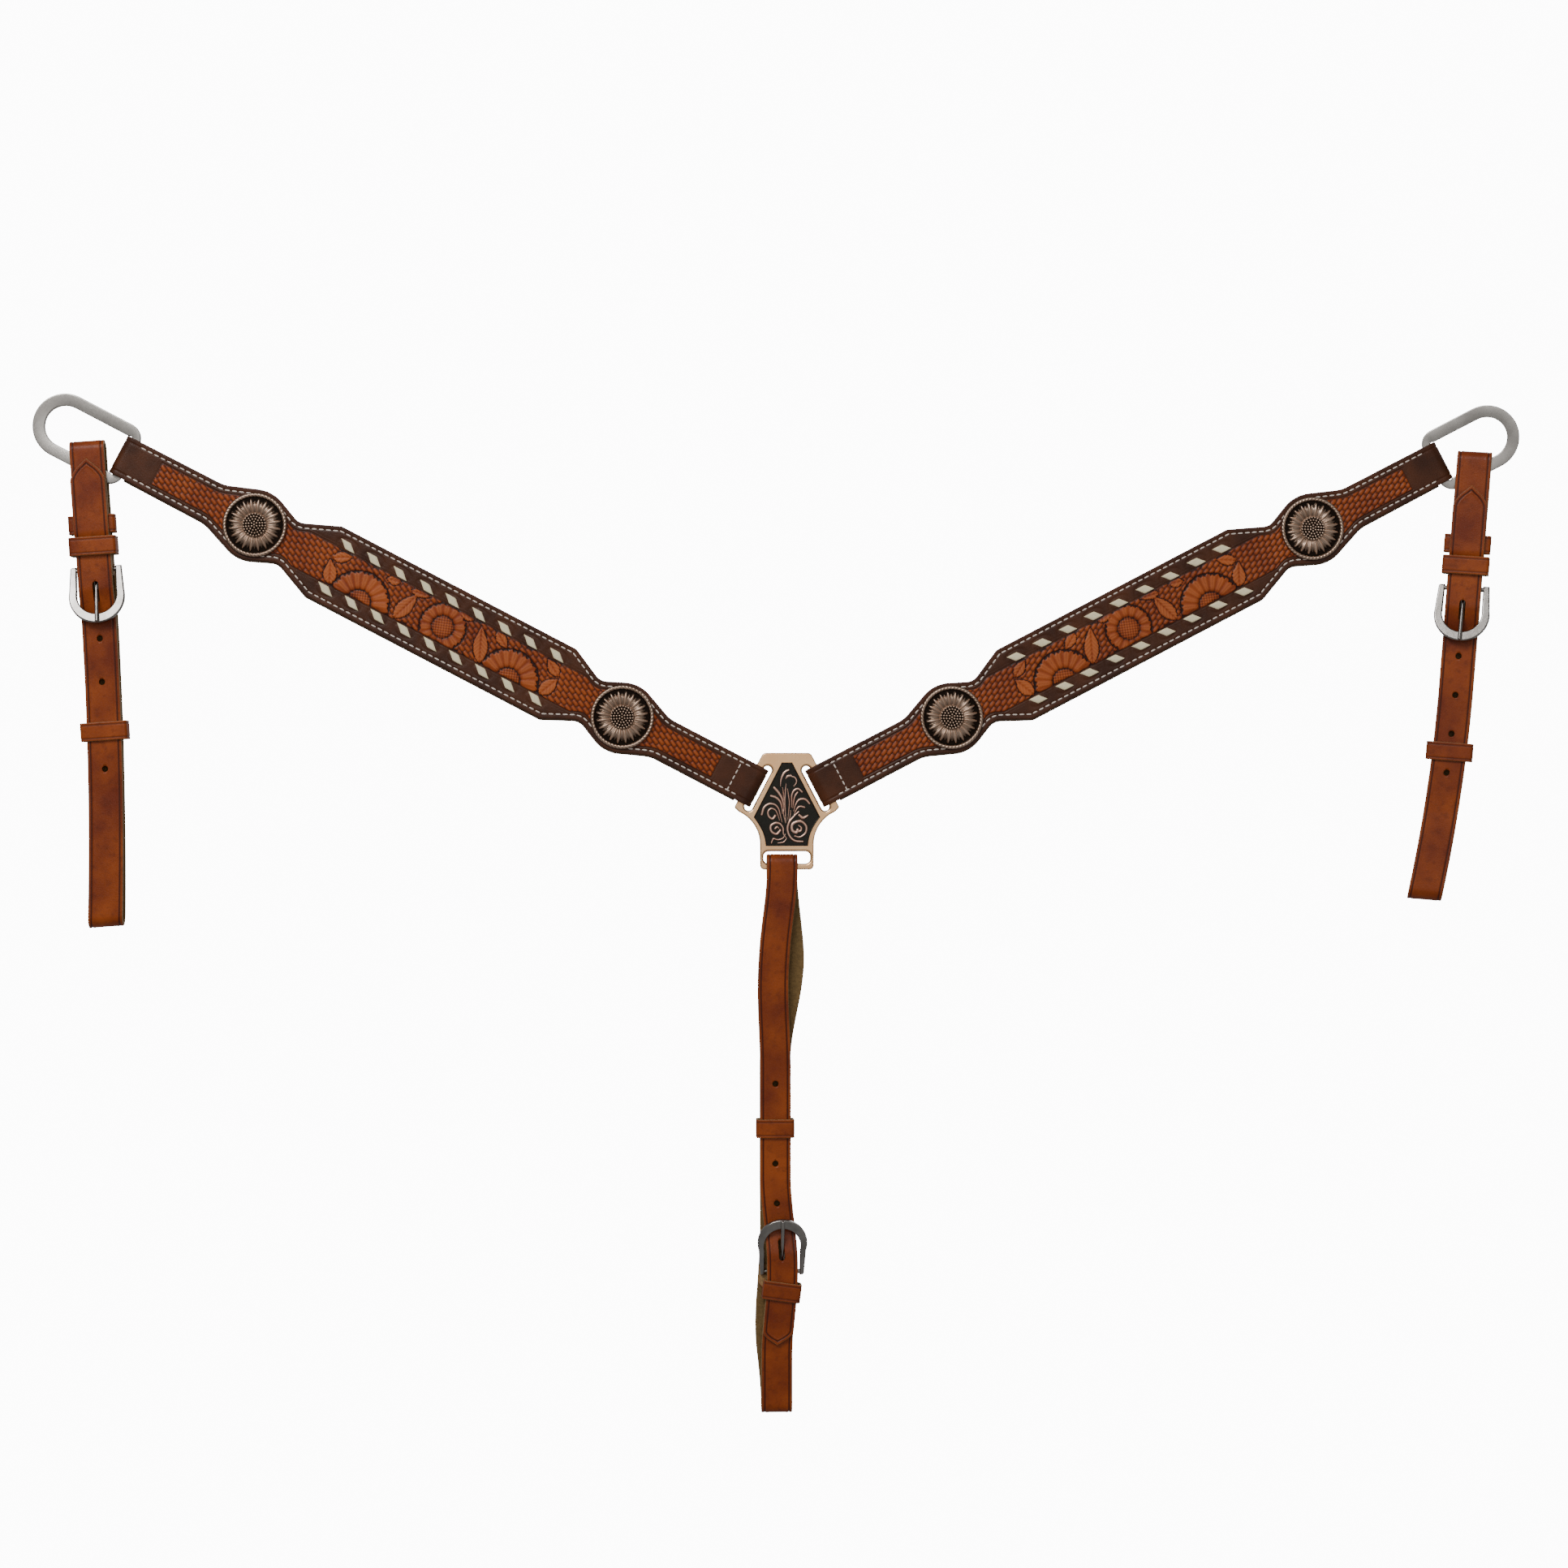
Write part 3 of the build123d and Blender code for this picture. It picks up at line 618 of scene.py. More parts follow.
def shoulder_tooling(u, w, from_edge):
    """Relief of the front of a shoulder strap, and how much of it is painted border."""
    u = np.broadcast_to(u, w.shape)
    inside = np.minimum(panel_half(u) - np.abs(w), np.minimum(u - PANEL_START, PANEL_END - u))
    pattern = basket_weave(u, w)
    cover = np.zeros(w.shape, bool)
    carving = np.full(w.shape, BARE)
    for flower in FLOWERS:
        height, covered = flower_relief(u, w, *flower)
        carving = np.maximum(carving, height)
        cover |= covered
    for root, tip, width in LEAVES:
        height, covered = leaf_relief(u, w, root, tip, width)
        height = np.where(carving > BARE / 2, BARE, height)
        carving = np.maximum(carving, height)
        cover |= covered
    ground = -0.34 + 0.10 * np.cos(u * 5.1 + np.cos(w * 3)) * np.cos(w * 4.7)
    pattern = np.where(cover, np.where(carving > BARE / 2, carving, ground), pattern)
    tooled = smooth(inside, 0.3, 0.9)
    relief = tooled * pattern - 0.38 * groove(inside, 0.45) - 0.16 * groove(inside + 1.5, 0.35)
    relief += stitch_groove(from_edge, 0.30)
    dent_along, dent_across = 6.6, 4.0
    for index in range(LACE_COUNT):
        for row in (-LACE_ROW, LACE_ROW):
            from_lace = u - LACE_FIRST - LACE_PITCH * index
            reach = np.hypot(from_lace / dent_along, (w - row) / dent_across)
            relief -= 0.25 * groove(reach - 1.0, 0.18)
    return relief, 1 - smooth(inside, -0.1, 0.5)


def shoulder_face(side):
    """One length of tooled leather, folded round the yoke's bar and the dee's bar."""
    corners = turned_end(YOKE_BAR, 1) + turned_end(DEE_BAR, -1)[::-1]
    line, ways = rounded_line(corners, 0.6)
    half = shoulder_half(line[:, 0])
    painted = {}

    def relief(w, from_edge):
        on_front = smooth(line[:, 1], FOLD_MIDDLE - 0.6, FOLD_MIDDLE - 0.05)[:, None]
        pattern, paint = shoulder_tooling(line[:, :1], w, from_edge)
        painted["paint"] = 1 - (1 - paint) * on_front
        return pattern * on_front + stitch_groove(from_edge, 0.30) * (1 - on_front)

    points, faces, marks, top, loop = leather_band(
        line, ways, half, FACE_LEATHER, 82, shoulder_world(side), relief, grain_side=-1
    )
    paint = np.ones((len(line), loop))
    paint[:, : top.shape[1]] = painted["paint"]
    add_piece(
        f"{side}_tooled_face", points, faces, TOOLED, f"{side}_shoulder", "tooled_leather",
        [f"{side}_shoulder_face"], paint=paint, **marks,
    )


def shoulder_lining(side):
    """Flat lining, a little proud of the face leather below and hidden by it above."""
    step = 1.5
    start, end = YOKE_BAR + 5.0, DEE_BAR - 5.0
    u = np.linspace(start, end, int((end - start) / step))
    line = np.stack([u, np.full_like(u, (LINING_BACK + FOLD_INNER) / 2)], 1)
    ways = np.tile([1.0, 0.0], (len(u), 1))
    proud, hang = 0.30, 0.75
    base = shoulder_world(side)

    def world(view, w):
        return base(view, w - hang)

    points, faces, marks, _, _ = leather_band(
        line, ways, shoulder_half(u) + proud, LINING_LEATHER - 0.04, 30, world,
        lambda w, from_edge: stitch_groove(from_edge, 0.25),
    )
    add_piece(
        f"{side}_lining_back", points, faces, LINING, f"{side}_shoulder", "lining_leather",
        [f"{side}_shoulder_lining"], **marks,
    )


def inset_path(inset, start, end):
    """Line a fixed distance inside the strap's upper edge, evenly spaced for stitches."""
    u = np.linspace(start - 6, end + 6, 3000)
    edge = np.stack([u, shoulder_half(u)], 1)
    way = np.gradient(edge, axis=0)
    way /= np.linalg.norm(way, axis=1)[:, None]
    path = edge + np.stack([way[:, 1], -way[:, 0]], 1) * inset
    path = path[(path[:, 0] > start) & (path[:, 0] < end)]
    path = path[np.concatenate([[True], np.diff(path[:, 0]) > 1e-3])]
    run = np.concatenate([[0], np.cumsum(np.linalg.norm(np.diff(path, axis=0), axis=1))])
    count = int(run[-1] / STITCH_PITCH)
    stops = np.linspace(0, run[-1], count * 2 + 1)
    return np.stack([np.interp(stops, run, path[:, k]) for k in (0, 1)], 1)


def stitches(side):
    """Cream stitching round both edges and across the yoke end, front and back."""
    place = shoulder_world(side)
    starts, ends, normals = [], [], []

    cover, turn_clear, tail_clear = 0.72, 17.0, 2.0
    low_tail, high_tail = YOKE_BAR + TURNBACK, DEE_BAR - TURNBACK
    tail_face = LINING_BACK - FACE_LEATHER + 0.1

    def add_row(points, depth, facing):
        for first, second in zip(points[0:-1:2], points[1::2]):
            step = (second - first) * 2 * cover
            centre = (first + second) / 2
            for store, spot in ((starts, centre - step / 2), (ends, centre + step / 2)):
                store.append(place(np.array([[spot[0], depth]]), np.array([spot[1]]))[0])
            normals.append(FRONT * facing)

    for mirror in (1, -1):
        front = inset_path(STITCH_INSET, YOKE_BAR + 6, DEE_BAR - 4) * (1, mirror)
        add_row(front, FACE_FRONT - 0.15, 1)
        back = inset_path(STITCH_INSET, low_tail + tail_clear, high_tail - tail_clear) * (1, mirror)
        add_row(back, LINING_BACK + 0.12, -1)
        low_span = (YOKE_BAR + turn_clear, low_tail - tail_clear)
        high_span = (high_tail + tail_clear, DEE_BAR - turn_clear)
        for start, end in (low_span, high_span):
            add_row(inset_path(STITCH_INSET, start, end) * (1, mirror), tail_face, -1)
    rows = (
        (YOKE_BAR + 11.5, FACE_FRONT - 0.05, 1),
        (low_tail - 3.5, tail_face, -1),
        (high_tail + 3.5, tail_face, -1),
    )
    w = np.linspace(-HALF_STRAP + STITCH_INSET, HALF_STRAP - STITCH_INSET, 11)
    for u, depth, facing in rows:
        add_row(np.stack([np.full_like(w, u), w], 1), depth, facing)
    points, faces = capsules(np.array(starts), np.array(ends), np.array(normals), 0.95, 0.8)
    add_piece(f"{side}_stitching", points, faces, THREAD, f"{side}_shoulder", "rawhide")


def lace_row(side, name, row):
    """Diamond windows of rawhide, domed along the strap and tucked into their slits."""
    slant_along, slant_up = LACE_SLANT[side]
    place = shoulder_world(side)
    n_along, n_up = 17, 11
    t, s = np.meshgrid(np.linspace(-1, 1, n_along), np.linspace(-1, 1, n_up), indexing="ij")
    dome, tuck, underside = 1.25, 0.35, 0.9
    points, faces, edges = [], [], []
    for index in range(LACE_COUNT):
        wobble = random.uniform(-0.35, 0.35, 4)
        length = LACE_SHOW + wobble[0]
        u = LACE_FIRST + LACE_PITCH * index + wobble[1] + t * length / 2 + s * slant_along / 2
        w = row + wobble[2] * 0.5 + s * slant_up / 2 * (1 - 0.04 * t**2)
        rise = dome * np.clip(1 - np.abs(t) ** 3.2, 0, 1) ** 0.5
        rise = rise * (1 - 0.30 * np.abs(s) ** 6) + 0.08 * s * wobble[3]
        upper = FACE_FRONT - tuck + rise
        lower = np.full_like(upper, FACE_FRONT - underside)
        grid_u = np.concatenate([u, u[:, ::-1]], 1)
        grid_w = np.concatenate([w, w[:, ::-1]], 1)
        grid_z = np.concatenate([upper, lower], 1)
        first = index * 2 * n_up * n_along
        points.append(place(np.stack([grid_u.ravel(), grid_z.ravel()], 1), grid_w.ravel()))
        faces += [[corner + first for corner in face] for face in ring_faces(n_along, 2 * n_up)]
        # painted shade where the lace tucks into its slits: full at its ends and underside, half along its
        # sides
        rim = np.maximum(smooth(np.abs(t), 0.88, 1.0), smooth(np.abs(s), 0.9, 1.0) * 0.5)
        edges.append(np.concatenate([rim, np.ones_like(rim)], 1).ravel())
    add_piece(
        f"{side}_{name}_windows", np.concatenate(points), faces, RAWHIDE, f"{side}_shoulder", "rawhide",
        [f"{side}_{name}"], edge=np.concatenate(edges),
    )


def concho(side, name, centre_u):
    """Flower disc with a twisted rope rim, two rings of petals and beaded seeds."""
    place = shoulder_world(side)
    rings, around = 92, 288
    radius = np.linspace(0.02, CONCHO_RADIUS, rings)[:, None]
    angle = (np.arange(around) * 2 * pi / around)[None, :]
    rope_middle, rope_half, strands = 18.3, 1.22, 54
    seed_bed, bead_radius, dome, dome_radius = 7.5, 0.78, 0.9, 7.6
    bulge = np.sqrt(np.clip(1 - ((radius - rope_middle) / rope_half) ** 2, 0, 1))
    rope = 0.5 + 0.5 * np.cos(strands * angle + 2.6 * (radius - rope_middle))
    height = np.full((rings, around), 0.75)
    # dark mark for the copper: dark on the sunken ground between the petals (patina and painted shade), with
    # painted shade on the petals, beads and rim below
    dark = np.ones((rings, around))
    petals = 20
    for shift, size, lift in ((0.5, 14.6, 1.8), (0.0, 15.9, 2.5)):
        turn = angle * petals / (2 * pi) + shift
        off = np.abs(turn - np.round(turn)) * 2
        width = 0.80 * np.clip((size + 0.1 - radius) / 4.2, 0, 1) ** 0.55
        petal = lift * (0.62 + 0.38 * np.sin(pi * np.clip((radius - 6.5) / (size - 6.5), 0, 1)))
        petal = petal - 0.95 * (off / np.maximum(width, 0.05)) ** 2 + 0.12 * np.cos(off * 7)
        inside = (off < width) & (radius < size) & (radius > 7.0)
        height = np.where(inside, np.maximum(height, petal), height)
        share = off / np.maximum(width, 0.05)
        # painted shade: darker towards the petals' sides, and darker still on the lower ring under the upper
        # one; a dark line also runs down each petal's middle
        shade = np.clip(share**3 * 0.95 + 0.35 * groove(off, 0.10) + (0.45 if shift else 0.0), 0, 1)
        dark = np.where(inside, np.minimum(dark, shade), dark)
    for ring_radius, count in ((0.0, 1), (1.75, 6), (3.4, 12), (5.05, 18), (6.7, 24)):
        for k in range(count):
            bead_angle = 2 * pi * (k + 0.5 * (count % 4 == 0)) / count
            du = radius * np.cos(angle) - ring_radius * cos(bead_angle)
            dw = radius * np.sin(angle) - ring_radius * sin(bead_angle)
            off = np.hypot(du, dw) / bead_radius
            base = 2.3 + dome * (1 - (ring_radius / dome_radius) ** 2)
            bead = base + 0.75 * np.sqrt(np.clip(1 - off**2, 0, 1))
            height = np.where(off < 1, np.maximum(height, bead), height)
            # painted highlight and shade: each bead is light on its top and dark down its sides
            dark = np.where(off < 1, np.clip(off**2 * 0.9, 0, 1), dark)
    floor = 2.2 + dome * (1 - (radius / dome_radius) ** 2) + 0 * angle
    height = np.where((radius < seed_bed) & (height < floor), floor, height)
    rim = radius > rope_middle - rope_half - 0.03
    height = np.where(rim, 1.0 + 1.25 * bulge + 0.35 * bulge * rope, height)
    # painted shade in the rope's grooves and down the rim's sloping sides
    dark = np.where(rim, 0.45 * (1 - rope) + 0.40 * (1 - bulge), dark)
    back = np.full((2, around), 0.03)
    height = np.concatenate([height, back])
    dark = np.concatenate([dark, np.ones((2, around))])
    back_rings = [np.full((1, around), CONCHO_RADIUS - 0.05), np.full((1, around), 0.02)]
    reach = np.concatenate([np.broadcast_to(radius, (rings, around)), *back_rings])
    u = centre_u + reach * np.cos(angle)
    w = reach * np.sin(angle)
    points = place(np.stack([u.ravel(), FACE_FRONT + height.ravel()], 1), w.ravel())
    add_piece(
        f"{side}_{name}_flower", points, ring_faces(rings + 2, around), ANTIQUE, f"{side}_shoulder",
        "antique_copper", [f"{side}_{name}"], depth=dark,
    )


# ---- Yoke insert: raised scrollwork on a dark stippled ground ----
# Each stroke: points (right, up) in the plate's plane, and half width at its two ends and middle
SCROLLS = (
    (((1.1, 20.7), (-1.2, 19.4), (-2.9, 16.9), (-3.8, 13.8), (-4.0, 10.5)), (0.7, 0.95, 0.3)),
    (((-0.9, 15.2), (0.5, 16.8), (2.6, 17.2)), (0.3, 0.9, 0.8)),
    (((2.4, 16.8), (5.0, 15.9), (5.9, 13.3), (4.2, 10.3)), (0.4, 0.8, 0.3)),
    (((-0.6, 12.0), (-1.0, 6.7), (-1.3, 1.6), (-1.1, -3.5), (-0.6, -11.7)), (0.4, 0.7, 0.3)),
    (((0.4, 9.0), (0.9, 5.0), (1.5, 0.6), (1.1, -4.5), (0.5, -10.5)), (0.3, 0.6, 0.25)),
    (((-7.8, 9.7), (-5.3, 6.9), (-3.2, 3.4), (-2.2, -0.6), (-1.9, -5.0)), (1.0, 0.75, 0.3)),
    (((-9.9, 4.7), (-6.8, 3.7), (-4.4, 1.4), (-3.2, -2.0), (-2.8, -6.5)), (0.8, 0.75, 0.3)),
    (((-15.5, -6.8), (-14.2, -2.6), (-11.2, -0.3), (-7.6, -0.6), (-5.2, -3.2), (-4.0, -7.6),
      (-3.0, -11.5)), (0.9, 0.65, 0.3)),
    (((-7.2, -7.6), (-8.8, -9.4), (-11.0, -8.1), (-11.7, -5.2), (-9.8, -3.1), (-7.2, -4.0),
      (-5.6, -7.0), (-4.6, -10.4)), (0.9, 0.6, 0.3)),
    (((9.3, 7.2), (6.9, 9.1), (4.2, 7.8), (2.9, 4.7), (3.0, 0.9), (2.8, -2.5)), (0.8, 0.7, 0.3)),
    (((6.5, 6.8), (4.9, 4.4), (4.1, 0.8), (3.6, -3.0)), (0.7, 0.6, 0.25)),
    (((13.9, 0.0), (11.3, 2.6), (7.7, 2.4), (5.4, -0.6), (4.2, -4.8)), (0.8, 0.75, 0.3)),
    (((10.9, -2.3), (7.9, -1.8), (6.0, -3.6), (4.4, -6.8)), (0.7, 0.6, 0.3)),
    (((7.6, -7.2), (10.0, -8.8), (12.9, -7.4)), (0.9, 1.1, 0.5)),
    (((7.3, -5.0), (4.1, -8.1), (1.2, -11.9), (0.4, -16.3), (2.1, -20.6), (5.2, -23.0), (9.8, -23.4)),
      (0.5, 0.8, 0.7)),
    (((6.6, -16.2), (5.7, -17.9), (3.4, -16.6), (3.1, -13.4), (5.7, -11.3), (9.2, -11.2),
      (11.9, -14.2), (11.3, -18.3), (8.0, -20.6), (4.8, -20.0)), (1.1, 0.95, 0.5)),
    (((6.4, -17.2), (8.4, -16.8), (8.8, -14.8), (7.2, -13.6)), (0.8, 0.7, 0.4)),
    (((-4.2, -16.6), (-6.4, -18.8), (-9.5, -17.2), (-10.0, -13.9), (-7.2, -12.0), (-4.2, -12.6),
      (-2.4, -15.2), (-2.2, -18.6), (-0.6, -21.0)), (0.9, 0.8, 0.4)),
    (((-7.4, -15.6), (-6.0, -14.4), (-4.8, -15.4)), (0.6, 0.6, 0.3)),
    (((-0.9, -18.8), (-2.6, -21.4), (-5.6, -22.3), (-8.3, -21.7), (-9.6, -24.3)), (0.3, 0.5, 0.6)),
    (((-0.2, -21.4), (-2.0, -23.7), (-5.6, -24.4)), (0.3, 0.5, 0.3)),
    (((-2.4, -3.5), (-1.9, -7.6), (-0.9, -12.2)), (0.25, 0.45, 0.2)),
    (((2.4, -4.4), (1.9, -8.2), (0.9, -12.0)), (0.25, 0.45, 0.2)),
    (((-2.6, 9.6), (-2.2, 6.2), (-1.9, 2.0)), (0.2, 0.4, 0.2)),
)


def through_points(points, per_span=14):
    """Smooth line through points."""
    points = np.array(points, float)
    padded = np.concatenate([[2 * points[0] - points[1]], points, [2 * points[-1] - points[-2]]])
    t = np.linspace(0, 1, per_span, endpoint=False)[:, None]
    spans = []
    for a, b, c, d in zip(padded, padded[1:], padded[2:], padded[3:]):
        bend, twist = 2 * a - 5 * b + 4 * c - d, 3 * b - a - 3 * c + d
        spans.append(0.5 * (2 * b + (c - a) * t + bend * t**2 + twist * t**3))
    return np.concatenate(spans + [points[-1:]])


INSERT_TOP, INSERT_FOOT = 25.2, -26.2


def insert_half(z):
    """Half width of the coffin-shaped insert at a height."""
    top, shoulder, foot = (3.2, INSERT_TOP), (20.5, -8.5), (13.0, INSERT_FOOT)
    straight = top[0] + (shoulder[0] - top[0]) * (top[1] - z) / (top[1] - shoulder[1])
    t = np.clip((shoulder[1] - z) / (shoulder[1] - foot[1]), 0, 1)
    hollow = shoulder[0] + (foot[0] - shoulder[0]) * t - 1.7 * np.sin(pi * t) ** 0.9
    return np.where(z > shoulder[1], straight, hollow)


def yoke_insert():
    """Scrollwork that stands up from a stippled ground, inside a raised rim."""
    rows, columns = 260, 190
    gap = 0.05
    z = np.linspace(INSERT_FOOT + gap, INSERT_TOP - gap, rows)[:, None]
    x = np.linspace(-1, 1, columns)[None, :] * (insert_half(z) - gap)
    z = np.broadcast_to(z, x.shape)
    rise = np.zeros(x.shape)
    for points, (start, middle, end) in SCROLLS:
        line = through_points(points)
        t = np.linspace(0, 1, len(line))
        widths = start * (1 - t) ** 2 + 2 * middle * 1.35 * t * (1 - t) + end * t**2
        for (px, pz), half in zip(line, np.maximum(widths * 0.82, 0.2)):
            near = np.hypot(x - px, z - pz) / half
            rise = np.maximum(rise, np.sqrt(np.clip(1 - near**2, 0, 1)) * min(1.0, 0.45 + half * 0.6))
    stipple = 0.05 * np.cos(x * 5.2 + 0.7 * np.sin(z * 2.1)) * np.cos(z * 5.6 + 0.6 * np.sin(x * 2.4))
    rim = smooth(insert_half(z) - np.abs(x), 0.0, 0.9)
    level = 2.0 - 0.85 + rise * 0.75 + stipple * (1 - rise) + 0.25 * (1 - rim)
    back = np.full((rows, columns), 0.55)
    grid_x = np.concatenate([x, x[:, ::-1]], 1)
    grid_z = np.concatenate([z, z[:, ::-1]], 1)
    forward = np.concatenate([level, back], 1)
    points = np.stack([grid_x.ravel(), MIDDLE[1] - forward.ravel(), grid_z.ravel()], 1)
    dark = np.concatenate([1 - smooth(rise, 0.15, 0.6), np.ones_like(rise)], 1)
    add_piece(
        "yoke_scrollwork", points, ring_faces(rows, 2 * columns), ENGRAVED, "yoke", "engraved_copper",
        ["yoke_insert"], depth=dark,
    )


# ---- Buckled straps: two tugs and the girth strap ----
def strap_place(origin, across, along):
    return {"origin": np.array(origin), "across": np.array(across), "along": np.array(along)}


def dee_axes(side):
    """Directions of a dee: out from its bar, and forward from its flat."""
    tilt = radians(DEE_TILT[side])
    along, _ = shoulder_axes(side)
    return along * cos(tilt) + FRONT * sin(tilt), FRONT * cos(tilt) - along * sin(tilt)


def tug_place(side):
    """The same plane as the CAD model's tug: on the dee's lower side, leaning a little in."""
    reach, facing = dee_axes(side)
    up_dee = np.cross(facing, reach)
    bar, _ = shoulder_axes(side)
    dee_bar = MIDDLE + bar * DEE_BAR
    lower = -sense(side) * DEE_MIDDLE
    level = np.array([reach[0], reach[1], 0])
    level = level / np.linalg.norm(level) * sense(side)
    lean = radians(TUG_LEAN[side]) * sense(side)
    up = np.array([0.0, 0.0, 1.0])
    across = level * cos(lean) - up * sin(lean)
    along = up * cos(lean) + level * sin(lean)
    return strap_place(dee_bar + reach * TUG_ON_DEE[side] + up_dee * lower, across, along)


def dee_ring(side):
    """Flat band round an opening, narrower inside the folds of the shoulder strap and the tug."""
    end = DEE_REACH[side] + DEE_MIDDLE
    corners = [
        ((0, 0), 0), ((0, -DEE_MIDDLE), 5.0), ((end, -DEE_MIDDLE), DEE_MIDDLE - 0.01),
        ((end, DEE_MIDDLE), DEE_MIDDLE - 0.01), ((0, DEE_MIDDLE), 5.0), ((0, 0), 0),
    ]
    line, ways = rounded_line(corners, 0.9)
    line, ways = line[:-1], ways[:-1]
    outward = np.stack([ways[:, 1], -ways[:, 0]], 1)
    from_tug = np.where(line[:, 1] * sense(side) < 0, np.abs(line[:, 0] - TUG_ON_DEE[side]), DEE_MIDDLE)
    half_band = 2.6 + 1.15 * smooth(line[:, 0], 0.0, 7.0) * smooth(from_tug, 5.5, 9.5)
    half_thick, rounding = 1.9, 0.85
    turn = np.linspace(0, 2 * pi, 28, endpoint=False)
    section_x = np.sign(np.cos(turn)) * np.abs(np.cos(turn)) ** 0.7 * rounding
    section_y = np.sign(np.sin(turn)) * np.abs(np.sin(turn)) ** 0.7 * rounding
    across = section_x + np.sign(np.cos(turn)) * (half_band[:, None] - rounding)
    forward = np.broadcast_to(section_y + np.sign(np.sin(turn)) * (half_thick - rounding), across.shape)
    reach, facing = dee_axes(side)
    up_dee = np.cross(facing, reach)
    flat = line[:, None, :] + outward[:, None, :] * across[:, :, None]
    bar, _ = shoulder_axes(side)
    in_plane = flat[:, :, :1] * reach + flat[:, :, 1:] * up_dee
    points = MIDDLE + bar * DEE_BAR + in_plane + forward[:, :, None] * facing
    add_piece(
        f"{side}_dee_band", points.reshape(-1, 3), ring_faces(len(line), len(turn), closed=True), NICKEL,
        f"{side}_ring", "steel", [f"{side}_dee"],
    )


# Places along each strap from its origin: near fold, heel bar, far fold with its half depth, tip;
# then the sliding keeper from the heel, and the pitch of the holes
STRAPS = {
    "left_tug": {
        "place": tug_place("left"),
        "width": 21.0, "near": 14.4, "heel": -62.1, "far": (-278.5, 5.5), "tip": 5.3,
        "keeper": -98.5, "pitch": 26.5,
    },
    "right_tug": {
        "place": tug_place("right"),
        "width": 21.0, "near": 11.2, "heel": -71.6, "far": (-264.8, 5.5), "tip": -8.1,
        "keeper": -101.4, "pitch": 24.2,
    },
    "girth": {
        "place": strap_place((-3.0, -2.0, -38.85), (-1.0, 0, 0), (0, 0, -1.0)),
        "width": 19.0, "near": 334.7, "heel": 249.0, "far": (-6.35, 4.4), "tip": 293.5,
        "keeper": -88.0, "pitch": 24.5,
    },
}
RUN_NARROW = 3.2
SEWN_KEEPERS = (14.2, 27.5)
SEWN_GAP = 0.15
FOLD_FLAT = 0.4
FOLD_SLACK = 1.2
BILLET_DEPTH = 7.6
BILLET_OVER_KEEPER = 9.35
TIP_STRAIGHT, TIP_SHARE = 0.40, 0.588


def strap_line(name):
    """Corners of the leather's middle line, (forward, along); a tug's top is looser than the CAD model's."""
    strap = STRAPS[name]
    heel, tip = strap["heel"], strap["tip"]
    near = strap["near"] + (0 if name == "girth" else FOLD_SLACK)
    far, far_depth = strap["far"]
    held = heel + strap["keeper"]
    wrap = RUN_DEPTH - HEEL_DEPTH
    back = RUN_DEPTH - STRAP_LEATHER - SEWN_GAP
    knee = 13.0
    slope = tan(asin(wrap / hypot(knee, back - HEEL_DEPTH)) + atan2(back - HEEL_DEPTH, knee))
    corners = [
        ((back, heel + 34), 0),
        ((back, heel + knee), 10),
        ((back - (knee + wrap) * slope, heel - wrap), wrap - 0.1),
        ((RUN_DEPTH, heel - wrap), wrap - 0.1),
        ((RUN_DEPTH, near), RUN_DEPTH - FOLD_FLAT),
        ((-RUN_DEPTH, near), RUN_DEPTH - FOLD_FLAT),
        ((-RUN_NARROW, held + 28), 150),
        ((-RUN_NARROW, held - 38), 60),
        ((-far_depth, far), far_depth - FOLD_FLAT),
        ((far_depth, far), far_depth - FOLD_FLAT),
        ((RUN_NARROW, held - 38), 60),
        ((RUN_NARROW, held + 28), 60),
        ((3.6, heel - 28), 25),
        ((BILLET_DEPTH, heel - 12), 12),
    ]
    if name != "girth":
        corners += [((BILLET_DEPTH, heel + 16.5), 8), ((BILLET_OVER_KEEPER, heel + 22.5), 8)]
        return corners + [((BILLET_OVER_KEEPER, tip), 0)]
    return corners + [((BILLET_DEPTH, tip), 0)]


def forward_of(place):
    forward = np.cross(place["across"], place["along"])
    return forward if forward[1] < 0 else -forward


def strap_world(name):
    place = STRAPS[name]["place"]
    forward = forward_of(place)

    def world(edge_view, across):
        shifted = across + DRIFTS[name](edge_view)
        return (
            place["origin"]
            + edge_view[:, :1] * forward
            + edge_view[:, 1:] * place["along"]
            + shifted[:, None] * place["across"]
        )

    return world


def left_drift(edge_view):
    """The left tug straightens below its buckle."""
    below = np.maximum(STRAPS["left_tug"]["heel"] - edge_view[:, 1], 0)
    return -2.0e-4 * below**2


def right_drift(edge_view):
    """The right tug curls inwards below its keeper."""
    below = np.maximum(-130.0 - edge_view[:, 1], 0)
    return -5.0e-4 * below**2


def girth_drift(edge_view):
    """The girth's two runs part sideways above the keeper's slide and cross below it."""
    held = STRAPS["girth"]["heel"] + STRAPS["girth"]["keeper"]
    along = edge_view[:, 1]
    joined = held - 38.0
    above = np.sin(pi * np.clip(along / joined, 0, 1)) ** 2
    freed = held + 28.0
    to_fold = STRAPS["girth"]["near"] - freed
    below = np.sin(pi * np.clip((along - freed) / to_fold, 0, 1)) ** 2
    front = smooth(edge_view[:, 0], -1.0, 1.0)
    at_keeper = smooth(along, 50.0, 120.0) - smooth(along, 190.0, 245.0)
    both = 4.2 * at_keeper + 3.3 * smooth(along, 250.0, 300.0)
    return both + front * 5.0 * above + (1 - front) * (-4.5 * above + 5.5 * below)


DRIFTS = {"left_tug": left_drift, "right_tug": right_drift, "girth": girth_drift}


